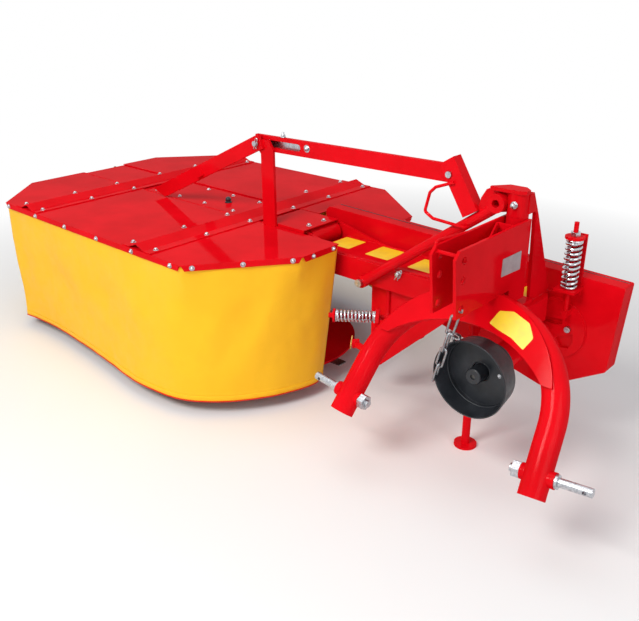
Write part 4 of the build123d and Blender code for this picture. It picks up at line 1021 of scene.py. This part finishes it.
def chain_tree():
    tree = Tree("welded chain", **{"Bend Radius": 0.0105, "Half Straight": 0.019, "Wire Radius": 0.0033})
    bend = tree.add("GeometryNodeCurvePrimitiveCircle", {"Radius": tree.size("Bend Radius")}, Resolution=24)
    place = tree.add("GeometryNodeInputPosition")
    along = tree.add("ShaderNodeSeparateXYZ", {"Vector": place.outputs[0]})
    end = tree.add("ShaderNodeMath", {0: along.outputs["X"]}, operation="SIGN")
    pull = tree.add("ShaderNodeMath", {0: end.outputs[0], 1: tree.size("Half Straight")},
                    operation="MULTIPLY")
    apart = tree.add("ShaderNodeCombineXYZ", {"X": pull.outputs[0]})
    oval = tree.add("GeometryNodeSetPosition", {"Geometry": bend.outputs[0], "Offset": apart.outputs[0]})
    link = tree.wire(oval.outputs[0], "Wire Radius")
    tree.finish(tree.copies(link.outputs[0], Rotation=tree.carried("turn")), chain_steel)
    return tree


CHAIN = chain_tree()
WIRE_RADIUS, LINK_BEND = 4.2 * MM, 11 * MM


def chain_run(name, start, end, links, face, twist):
    """Taut chain of equal links; the first is turned `twist` degrees round the chain from facing `face`."""
    way = (end - start).normalized()
    pitch = (end - start).length / links
    flat = (face - face.dot(way) * way).normalized()
    places, turns = [], []
    for i in range(links):
        across = Matrix.Rotation(math.radians(twist + 90 * i), 3, way) @ flat
        places.append(start + way * pitch * (i + 0.5))
        turns.append(Vector(Matrix((way, across.cross(way), across)).transposed().to_euler()))
    sizes = {"Bend Radius": LINK_BEND, "Half Straight": pitch / 2 + WIRE_RADIUS - LINK_BEND,
             "Wire Radius": WIRE_RADIUS}
    carrier = points_mesh(name + "_points", places, turns, "turn")
    return bake_tree(name, carrier, CHAIN, None, "zinc_steel", chain_steel, **sizes)


print("chain tree ready")

# %% [markdown]
# The chain's two ends belong to bodies that move against each other, so its links, from the hook to the
# guard's rim, ride no body here. The hook itself rides the hitch.

# %% Chain from cheek to guard
LONG_LINK = 92 * MM
CHAIN_LINKS = 3
FRONT_RIGHT = Vector((0.67, -0.74, 0.0))
guard_low, guard_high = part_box("pto_shield")
guard_middle = (guard_low + guard_high) / 2
guard_radius = (guard_high.x - guard_low.x) / 2
cheek_low, cheek_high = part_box("mast_cheek_right")


def on_rim(turn, outwards=0.0):
    """Place on the guard's mouth, at an angle in degrees counted from +X."""
    reach = guard_radius + outwards
    return Vector((guard_middle.x + reach * math.cos(math.radians(turn)), guard_low.y + 10 * MM,
                   guard_middle.z + reach * math.sin(math.radians(turn))))


HOLE_BACK, HOLE_LEVEL = 46 * MM, 80 * MM       # the cheek's lowest hole behind and above the plate's corner
hole = Vector((cheek_low.x, cheek_low.y + HOLE_BACK, cheek_low.z + HOLE_LEVEL))
# the hook's wire as steps from the hole's middle on the cheek's inner face, in mm
HOOK_STEPS = (
    (15, -1, 1), (14, 0, -8), (5, 1, -9.5), (-5, 2, -9),
    (-11, 3, -15), (-12, 4, -23), (-8, 5, -28), (-3, 5, -26),
)
hook_path = smooth_line([hole + Vector(step) * MM for step in HOOK_STEPS], 6)
tube_along("guard_chain_hook", hook_path, 3 * MM, chain_steel, "hitch")
chain_top = hole + Vector((-10, 4, -29)) * MM
chain_foot = on_rim(200, 9 * MM)
joint = chain_top + (chain_foot - chain_top).normalized() * LONG_LINK
long_link = chain_run("guard_chain_long_link", chain_top, joint, 1, FRONT_RIGHT, 10)
chain = chain_run("guard_chain_links", joint, chain_foot, CHAIN_LINKS, FRONT_RIGHT, 130)
branch = chain_run("guard_chain_branch", joint, on_rim(112, 2 * MM), 2, FRONT_RIGHT, 60)
for piece in (long_link, chain, branch):
    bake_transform(piece)
print(CHAIN_LINKS + 3, "chain links over", round((chain_foot - chain_top).length, 3), "m")

# %% [markdown]
# ## Blank labels and a blank plate
# Printed film labels warn of moving parts on such a machine, and a metal plate carries its data. They are
# left blank here: only the film, its rounded corners and its slight thickness are made, each lying on the
# face that carries it.

# %% Labels


def rounded_corners(corners, radius, steps=4):
    """Closed outline with each corner turned by a small curve."""
    line = []
    for i, corner in enumerate(corners):
        before, after = corners[i - 1], corners[(i + 1) % len(corners)]
        first = corner + (before - corner).normalized() * radius
        last = corner + (after - corner).normalized() * radius
        for k in range(steps + 1):
            t = k / steps
            line.append((1 - t) ** 2 * first + 2 * t * (1 - t) * corner + t * t * last)
    return line


def film_piece(name, corners, up, material, body, radius=5 * MM, thick=0.6 * MM):
    """Thin sheet lying on a face: its corners on that face and the way it is lifted."""
    line = rounded_corners(corners, radius)
    shape = bmesh.new()
    low = [shape.verts.new(p + up * 0.1 * MM) for p in line]
    high = [shape.verts.new(p + up * thick) for p in line]
    shape.faces.new(low[::-1])
    shape.faces.new(high)
    join_rings(shape, low, high)
    return from_bmesh(name, shape, material, body, smooth=False)


def at(x, y, z):
    """Place given in mm from the middle of the hitch pins, on the ground."""
    return HITCH + Vector((x, y, z)) * MM


beam_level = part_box("carrier_beam")[1].z / MM
# labels on the beam's top: left, right, near and far edge in mm
BEAM_LABELS = (
    (-873, -770, 484, 596), (-682, -570, 480, 598), (-468, -366, 470, 586), (-36, 22, 476, 592),
)
for i, (left, right, near, far) in enumerate(BEAM_LABELS):
    corners = [at(x, y, beam_level) for x, y in ((left, near), (right, near), (right, far), (left, far))]
    film_piece(f"beam_label_{i + 1}", corners, UP, label_yellow, "carrier")
print(len(BEAM_LABELS), "labels on the beam")

# %% [markdown]
# The arch leans back, so the label on its web is drawn across and up the slope of that face. The plate on
# the right cheek is thicker than a film and has sharper corners, as pressed metal has.

# %% Label on the arch's web and plate on the cheek
ARCH_LEAN = math.radians(36.87)
WEB_FACE = 51.2             # mm from the arch's middle plane to the web's front face
PIN_LEVEL = 295.0
web_up = Vector((0, math.sin(ARCH_LEAN), math.cos(ARCH_LEAN)))
web_out = Vector((0, -math.cos(ARCH_LEAN), math.sin(ARCH_LEAN)))
# the label's corners: across the web and up its slope, mm
WEB_LABEL = (
    (54, 372), (71, 418), (117, 428), (177, 407), (205, 367), (188, 324), (140, 348), (85, 361),
)
web_corners = [at(x, 0, PIN_LEVEL) + (web_up * up + web_out * WEB_FACE) * MM for x, up in WEB_LABEL]
film_piece("web_label", web_corners[::-1], web_out, label_yellow, "hitch")
# the plate's corners on the right cheek's outer face: y and z, mm
CHEEK_PLATE = ((247, 812), (245, 754), (363, 748), (362, 810))
PLATE_CORNER, PLATE_THICK = 2 * MM, 1.2 * MM
cheek_face = (cheek_high.x - HITCH.x) / MM
plate_corners = [at(cheek_face, y, z) for y, z in CHEEK_PLATE]
film_piece("cheek_plate", plate_corners, Vector((1, 0, 0)), plate_grey, "hitch",
           PLATE_CORNER, PLATE_THICK)
print("web label and cheek plate laid")

# %% [markdown]
# ## Fittings of the long link
# The link to the cutter bar has a long slot. A plated strip lies behind it, an adjusting stud with a nut
# stands through its top edge, and a large washered bolt closes its end. The strip is a shallow channel,
# so one closed section is drawn once and carried straight along the slot. The stud is a short tube. The
# nut, the large bolt and the other bolts that stand alone, on the swing head, the stop and the guard,
# come from the bolt tree by one table.

# %% Link fittings
link_low, link_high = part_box("top_link")
# the strip's channel: behind the link's rear face and above its slot's middle line, mm
STRIP_SECTION = (
    (0.2, -19), (5, -19), (7.5, -16.5), (7.5, 16.5), (5, 19), (0.2, 19),
    (0.2, 16.8), (4.2, 16.8), (5.2, 15.8), (5.2, -15.8), (4.2, -16.8), (0.2, -16.8),
)


def sweep_section(name, section, start, end, material, body):
    """Straight run of a closed section given as steps along +Y and +Z in mm."""
    shape = bmesh.new()
    first, last = [[shape.verts.new(p + Vector((0, y, z)) * MM) for y, z in section] for p in (start, end)]
    join_rings(shape, first, last)
    shape.faces.new(first[::-1])
    shape.faces.new(last)
    return from_bmesh(name, shape, material, body, smooth=False)


link_rear = (link_high.y - HITCH.y) / MM
sweep_section("slot_strip", STRIP_SECTION, at(-1176, link_rear, 991.7), at(-932, link_rear, 995.5),
              zinc, "top_link")
STUD_X, STUD_FOOT, NUT_FOOT, STUD_TOP = -1036, 1010, 1027, 1046       # mm
link_middle = (link_low.y + link_high.y) / 2 / MM - HITCH.y / MM
stud_line = [at(STUD_X, link_middle, level) for level in (STUD_FOOT, (STUD_FOOT + STUD_TOP) / 2, STUD_TOP)]
tube_along("adjusting_stud", stud_line, 5 * MM, zinc, "top_link", 14)
print("slot strip and adjusting stud")

# %% [markdown]
# A bolt that stands alone has a size of its own, so these are listed in one table with their place and
# facing.

# %% Single bolts
FORWARD = Vector((0, -1, 0))
link_face = (link_low.y - HITCH.y) / MM
# name, place, facing, body; head radius, head height and washer radius in mm; how domed the end is
SINGLE_BOLTS = (
    ("adjusting_nut", at(STUD_X, link_middle, NUT_FOOT), UP, "top_link", 9.5, 9, 11, 0.2),
    ("link_bolt", at(-902, link_face, 1000), FORWARD, "top_link", 9, 7, 15, 0.35),
    ("head_bolt", at(5, 362, 950), FORWARD, "carrier", 9, 12, 12, 0.45),
    ("stop_pin", at(-466, 414, 586), FORWARD, "carrier", 10, 14, 12, 0.2),
    ("guard_screw", at(82, 228, 427), FORWARD, "carrier", 5, 3, 7, 0.4),
)
for name, place, facing, body, head, height, washer, dome in SINGLE_BOLTS:
    bolts(name, [place], [facing], body, head * MM, height * MM, washer * MM, dome)
print(len(SINGLE_BOLTS), "single bolts")

# %% [markdown]
# ## Turned pieces
# A domed plug closes the gear beam's oil filler and a moulded cap covers the drive stub. Both are round
# about one axis, so each is drawn as half an outline from the top's middle down and turned about that
# axis, as on a lathe.

# %% Oil plug and stub cap
# the plug's outline: radius and height, mm
PLUG_OUTLINE = ((0, 27), (6, 26), (11, 22), (13.5, 16), (13, 10), (11, 7), (15, 5), (16, 0))


def turned(name, outline, foot, way, material, body, slot, sides=28):
    """Piece turned about an axis: its outline from the top's middle down, as radius and height in mm."""
    shape = bmesh.new()
    aside = way.orthogonal().normalized()
    over = way.cross(aside)
    top = shape.verts.new(foot + way * outline[0][1] * MM)
    rings = [ring_of(shape, foot + way * height * MM, aside, over, radius * MM, sides)
             for radius, height in outline[1:]]
    for k in range(sides):
        shape.faces.new((top, rings[0][k], rings[0][(k + 1) % sides]))
    for upper, lower in zip(rings, rings[1:]):
        join_rings(shape, lower, upper)
    shape.faces.new(rings[-1])
    return sharpen(from_bmesh(name, shape, material, body))


turned("oil_plug", PLUG_OUTLINE, at(-1517, 507, 650), UP, black, "cutter", "black_guard")
# a moulded cap keeps dirt off the drive stub: radius and height in front of the bearing tube, mm
CAP_OUTLINE = ((0, 55), (8, 55), (9, 66), (25, 66), (28, 63), (28.5, 10), (34, 8), (35, 0.5))
STUB_X, STUB_LEVEL = 15, 421                # the drive stub's axis, mm
stub_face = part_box("bearing_tube")[0].y / MM - HITCH.y / MM
turned("stub_cap", CAP_OUTLINE, at(STUB_X, stub_face, STUB_LEVEL), FORWARD, black, "pto_shaft", "black_guard")
print("oil plug and stub cap")

# %% [markdown]
# The two covers are pressed sheets whose inner edges are turned over into round lips, a thin black tube
# along the belt lid's top seam is painted shade, the dark line of the seam's groove, and a square nut sits
# in the brace. Lips and the seam's black line are tubes along a line, and the nut is a thick film piece
# laid along the brace's slope.

# %% Cover lips, painted seam shade and brace nut
# places in mm; the close pairs keep the ends of a tube square
LIP_LINE = (-2531, -2530, -1800, -1126, -1125)                                  # across
SEAM_SHADE_LINE = ((-992, 697), (-991, 697), (-350, 678), (281, 659), (282, 659))     # across and up
SEAM_SHADE_BACK = 695
NUT_CORNERS = ((-19, -13), (19, -13), (19, 13), (-19, 13))                      # along and across the brace
BRACE_SLOPE = math.atan2(373, 761)
lip_level = cover_top / MM - 1
for edge, y in (("front", 383), ("rear", 638)):
    lip_path = [at(x, y, lip_level) for x in LIP_LINE]
    tube_along(f"cover_lip_{edge}", lip_path, 3 * MM, red, "cutter", 12)
# a thin black tube along the lid's top seam: painted shade, standing for the dark line of the seam's groove
seam_shade_path = [at(x, SEAM_SHADE_BACK, z) for x, z in SEAM_SHADE_LINE]
tube_along("lid_seam_shade", seam_shade_path, 1.8 * MM, black, "carrier")
nut_across = Vector((math.cos(BRACE_SLOPE), 0, math.sin(BRACE_SLOPE)))
nut_up = Vector((-math.sin(BRACE_SLOPE), 0, math.cos(BRACE_SLOPE)))
nut_corners = [at(-1521, 360, 811) + (nut_across * x + nut_up * z) * MM for x, z in NUT_CORNERS]
film_piece("brace_nut", nut_corners, FORWARD, red, "cutter", 3 * MM, 13 * MM)
print("two lips, painted seam shade and the brace's nut")

# %% [markdown]
# A moulded guard is stiffened by rolled rims. The light runs round them and shows that the cup is round,
# so two thin rings are laid on it, at its mouth and at the step before its floor.

# %% Rims of the guard


def wire_ring(name, centre, way, radius, wire, material, body, around=72, sides=8):
    """Closed ring of round wire about an axis."""
    shape = bmesh.new()
    aside = way.orthogonal().normalized()
    over = way.cross(aside)
    rings = []
    for i in range(around):
        turn = 2 * math.pi * i / around
        out = math.cos(turn) * aside + math.sin(turn) * over
        rings.append(ring_of(shape, centre + out * radius, out, way, wire, sides))
    for first, second in zip(rings, rings[1:] + rings[:1]):
        join_rings(shape, second, first)
    return from_bmesh(name, shape, material, body)


RIM_WIRE = 2.4 * MM
# the guard's mouth and the step before its floor: distance behind the pins and radius, mm
for part, back, radius in (("mouth", 151, 132), ("step", 214, 120)):
    wire_ring(f"guard_{part}_rim", at(STUB_X, back, STUB_LEVEL), FORWARD, radius * MM, RIM_WIRE, black,
              "carrier")
print("two guard rims")

# %% [markdown]
# ## Wire clips
# Pins are kept by bent wire clips: one leg goes through the pin and the other springs round it. The wire
# is one smooth line through a few points, drawn flat once and then turned to lie square to each pin.

# %% Wire clips
# a clip's line: across and along its straight leg, mm, for a pin of 11 mm radius
CLIP_LINE = (
    (0, -26), (0, 0), (0, 16), (1.5, 22), (6, 25.5), (10.5, 22), (11.5, 16),
    (9.5, 11), (13, 5.5), (14.5, 0), (13, -5.5), (9.5, -11), (13, -18),
)
# pin's name, place of its middle at the clip, way of the straight leg, way across it, metal, body
CLIPS = (
    ("apex", (-1156, 351, 992), (0.26, 0, 0.97), (0.97, 0, -0.26), zinc, "cutter"),
    ("stop", (-466, 405, 586), (0.5, 0, 0.87), (0.87, 0, -0.5), zinc, "carrier"),
    ("catch", (-462, 138, 404), (0.10, 0.10, 0.99), (-0.70, 0.70, 0.0), brass, "hitch"),
)
for pin, place, leg, aside, metal, body in CLIPS:
    steps = [(x * Vector(aside) + y * Vector(leg)) * MM for x, y in CLIP_LINE]
    clip_line = smooth_line([at(*place) + step for step in steps], 5)
    tube_along(f"{pin}_clip", clip_line, 1.8 * MM, metal, body)
print(len(CLIPS), "clips")

# %% [markdown]
# The breakaway catch swings on a small knuckle: a short arm from the hitch's leg to an eye that takes the
# brass clip. Both are plain tubes, and the close pairs of places at the eye's ends keep its faces square.

# %% Catch knuckle
ARM_LINE = ((-372, 106, 412), (-404, 124, 410), (-438, 142, 402))       # from the leg to the eye, mm
EYE_STEPS = (-13, -12, -9, 9, 12, 13)                                   # along the eye's axis, mm
knuckle_arm = smooth_line([at(*place) for place in ARM_LINE], 6)
tube_along("catch_arm", knuckle_arm, 12 * MM, red, "hitch", 16)
eye_way = Vector((0.70, 0.70, 0.0)).normalized()
knuckle_eye = [at(-452, 150, 400) + eye_way * (step * MM) for step in EYE_STEPS]
tube_along("catch_eye", knuckle_eye, 17 * MM, red, "hitch", 22)
print("catch knuckle ready")

# %% [markdown]
# ## Welds
# A weld shows as a row of small scallops, one for each time the torch moved on. A tree lays a flattened
# ball at every place of a seam, turned along it and a little larger or smaller than its neighbour, so the
# light catches each bead.

# %% Weld tree
BEAD_SWELL = (0.85, 1.12)   # least and most size of a bead
BEAD_FLAT = 0.62            # how long a bead is along its seam, as a share of its width


def weld_tree():
    tree = Tree("weld scallops", **{"Bead Radius": 0.004})
    ball = tree.add("GeometryNodeMeshIcoSphere", {"Radius": tree.size("Bead Radius")}, Subdivisions=2)
    turn = tree.add("FunctionNodeAlignEulerToVector", {"Vector": tree.carried("facing")}, axis="X")
    swell = tree.add("FunctionNodeRandomValue", data_type="FLOAT")
    swell.inputs[2].default_value, swell.inputs[3].default_value = BEAD_SWELL
    swell.inputs["Seed"].default_value = 11
    size = tree.add("ShaderNodeCombineXYZ", {"Y": swell.outputs[1], "Z": swell.outputs[1]}, X=BEAD_FLAT)
    tree.finish(tree.copies(ball.outputs[0], Rotation=turn.outputs[0], Scale=size.outputs[0]), red)
    return tree


WELD = weld_tree()
BEAD, BEAD_STEP = 3.6 * MM, 0.9         # a bead's radius, and the way between two beads as a share of it


def welds(name, seams, body):
    """Scallops along straight seams, each given by its two ends."""
    places, ways = [], []
    for a, b in seams:
        count = max(2, int((b - a).length / (BEAD_STEP * BEAD)))
        places += [a.lerp(b, k / count) for k in range(count + 1)]
        ways += [(b - a).normalized()] * (count + 1)
    carrier = points_mesh(name + "_points", places, ways)
    return bake_tree(name, carrier, WELD, body, "red_paint", red, **{"Bead Radius": BEAD})


print("weld tree ready")

# %% [markdown]
# The seams that the eye finds are on the beam's top edges, round the foot of the rear stay, round the
# bearing disc and on the mast. Each is a straight stretch between two places, and the disc's rim is a
# chain of short ones.

# %% Weld seams


def seam(x0, y0, z0, x1, y1, z1):
    return at(x0, y0, z0), at(x1, y1, z1)


# along both edges of the beam's top, and round the foot of the rear stay on it
beam_seams = [seam(-878, y, 598, 58, y, 598) for y in (426, 610)]
foot_seams = [
    seam(26, 470, 598, 26, 608, 598),
    seam(38, 470, 598, 38, 608, 598),
    seam(-50, 469, 598, 26, 469, 598),
    seam(-50, 428, 598, -50, 469, 598),
]
# the bearing disc's rim on the belt housing: centre across and up, radius, distance back, mm
RIM_X, RIM_Z, RIM_RADIUS, RIM_BACK = 68, 455, 112, 639
rim = []
for degrees in range(-110, 61, 10):
    angle = math.radians(degrees)
    rim.append(at(RIM_X + RIM_RADIUS * math.cos(angle), RIM_BACK, RIM_Z + RIM_RADIUS * math.sin(angle)))
carrier_seams = beam_seams + foot_seams + list(zip(rim, rim[1:]))
welds("carrier_welds", carrier_seams, "carrier")
# down both cheeks' rear edges on the mast tube, and at the ends of the cross bar between the cheeks
hitch_seams = [seam(x, 411, 645, x, 411, 896) for x in (-36, 36)]
hitch_seams += [seam(x, -1, 884, x, 13, 884) for x in (-34, 34)]
welds("hitch_welds", hitch_seams, "hitch")
print("welds laid on", len(carrier_seams + hitch_seams), "seams")

# %% [markdown]
# ## Floor and light
# A plain pale floor carries the shadow and turns white a little way out, and the world behind it is white
# to the eye and in reflections, so no edge shows from any side.

# %% Floor
FLOOR_LEVEL = frame_low.z
FLOOR_REACH = 14.0
floor_mesh = bpy.data.meshes.new("floor")
SQUARE = ((-1, -1), (1, -1), (1, 1), (-1, 1))
floor_corners = [(x * FLOOR_REACH, y * FLOOR_REACH, FLOOR_LEVEL) for x, y in SQUARE]
floor_mesh.from_pydata(floor_corners, [], [(0, 1, 2, 3)])
floor = bpy.data.objects.new("floor", floor_mesh)
paper = Finish("pale paper floor", (0.86, 0.86, 0.85), 0.85, Specular_IOR_Level=0.2)
paper.colour(paper.mix(paper.ramp(paper.noise(0.6, 3), 0.3, 0.7), (0.88, 0.88, 0.87), (0.85, 0.85, 0.85)))
floor.data.materials.append(paper.material)


def seen_or_mirrored(tree):
    """1 for a ray that comes from the eye, a reflection or a view through glass, else 0."""
    rays = tree.nodes.new("ShaderNodeLightPath").outputs
    either = rays["Is Camera Ray"]
    for kind in ("Is Glossy Ray", "Is Transmission Ray"):
        most = tree.nodes.new("ShaderNodeMath")
        most.operation = "MAXIMUM"
        tree.links.new(either, most.inputs[0])
        tree.links.new(rays[kind], most.inputs[1])
        either = most.outputs[0]
    return either


def whiten_afar(finish, start=1.7, end=3.3):
    """Between `start` and `end` metres out the floor turns white to the eye and in reflections."""
    far_out = finish.add("ShaderNodeVectorMath", operation="LENGTH")
    finish.link(finish.place, far_out.inputs[0])
    share = finish.ramp(far_out.outputs["Value"], start, end)
    white = finish.add("ShaderNodeEmission")
    both = finish.add("ShaderNodeMixShader")
    finish.link(finish.math("MULTIPLY", share, seen_or_mirrored(finish.tree)), both.inputs[0])
    finish.link(finish.shader.outputs[0], both.inputs[1])
    finish.link(white.outputs[0], both.inputs[2])
    finish.link(both.outputs[0], finish.tree.nodes["Material Output"].inputs["Surface"])


whiten_afar(paper)
bpy.context.scene.collection.objects.link(floor)
print("floor at", round(FLOOR_LEVEL, 4))

# %% [markdown]
# One large soft key light from the front and above gives the enamel a long highlight, a weaker fill opens
# the shadows, and a top light draws the upper faces. They're square area lights, as soft boxes are in a
# studio, and each looks at the middle of the machine.

# %% Lights
MIDDLE = Vector((0, 0, 0.5))
SKY_COLOUR, SKY_STRENGTH = (0.93, 0.95, 1.0, 1), 0.44
WHITE = (1, 1, 1, 1)
# name, azimuth and elevation in degrees, distance, size, power, colour
SOFTBOXES = (
    ("key", 5, 42, 5.5, (2.2, 1.6), 190, (1.0, 0.98, 0.95)),
    ("fill", 72, 24, 6.0, (3.0, 3.0), 66, (1, 1, 1)),
    ("top", -30, 80, 5.0, (3.5, 2.5), 42, (1, 1, 1)),
)


def softbox(name, azimuth, elevation, distance, size, power, colour):
    """Area light that looks at the machine's middle."""
    a, e = math.radians(azimuth), math.radians(elevation)
    place = MIDDLE + distance * Vector((math.sin(a) * math.cos(e), -math.cos(a) * math.cos(e), math.sin(e)))
    light = bpy.data.lights.new(name, "AREA")
    light.shape, light.size, light.size_y = "RECTANGLE", size[0], size[1]
    light.energy, light.color = power, colour
    lamp = bpy.data.objects.new(name, light)
    lamp.location = place
    lamp.rotation_euler = (MIDDLE - place).to_track_quat("-Z", "Y").to_euler()
    bpy.context.scene.collection.objects.link(lamp)


world = bpy.data.worlds.new("soft grey sky")
world.use_nodes = True
sky_tree = world.node_tree
sky = sky_tree.nodes["Background"]
sky.inputs["Color"].default_value = SKY_COLOUR
sky.inputs["Strength"].default_value = SKY_STRENGTH
white_sky = sky_tree.nodes.new("ShaderNodeBackground")
white_sky.inputs["Color"].default_value = WHITE
both_skies = sky_tree.nodes.new("ShaderNodeMixShader")
sky_tree.links.new(seen_or_mirrored(sky_tree), both_skies.inputs[0])
sky_tree.links.new(sky.outputs[0], both_skies.inputs[1])
sky_tree.links.new(white_sky.outputs[0], both_skies.inputs[2])
sky_tree.links.new(both_skies.outputs[0], sky_tree.nodes["World Output"].inputs["Surface"])
bpy.context.scene.world = world
for box in SOFTBOXES:
    softbox(*box)
print("world and", len(SOFTBOXES), "soft lights")

# %% [markdown]
# ## Bounds
# The packed machine's bounds, measured when it was loaded, are printed.

# %% Sizes and finish
print("packed ", [round(v, 4) for v in (*frame_low, *frame_high)])
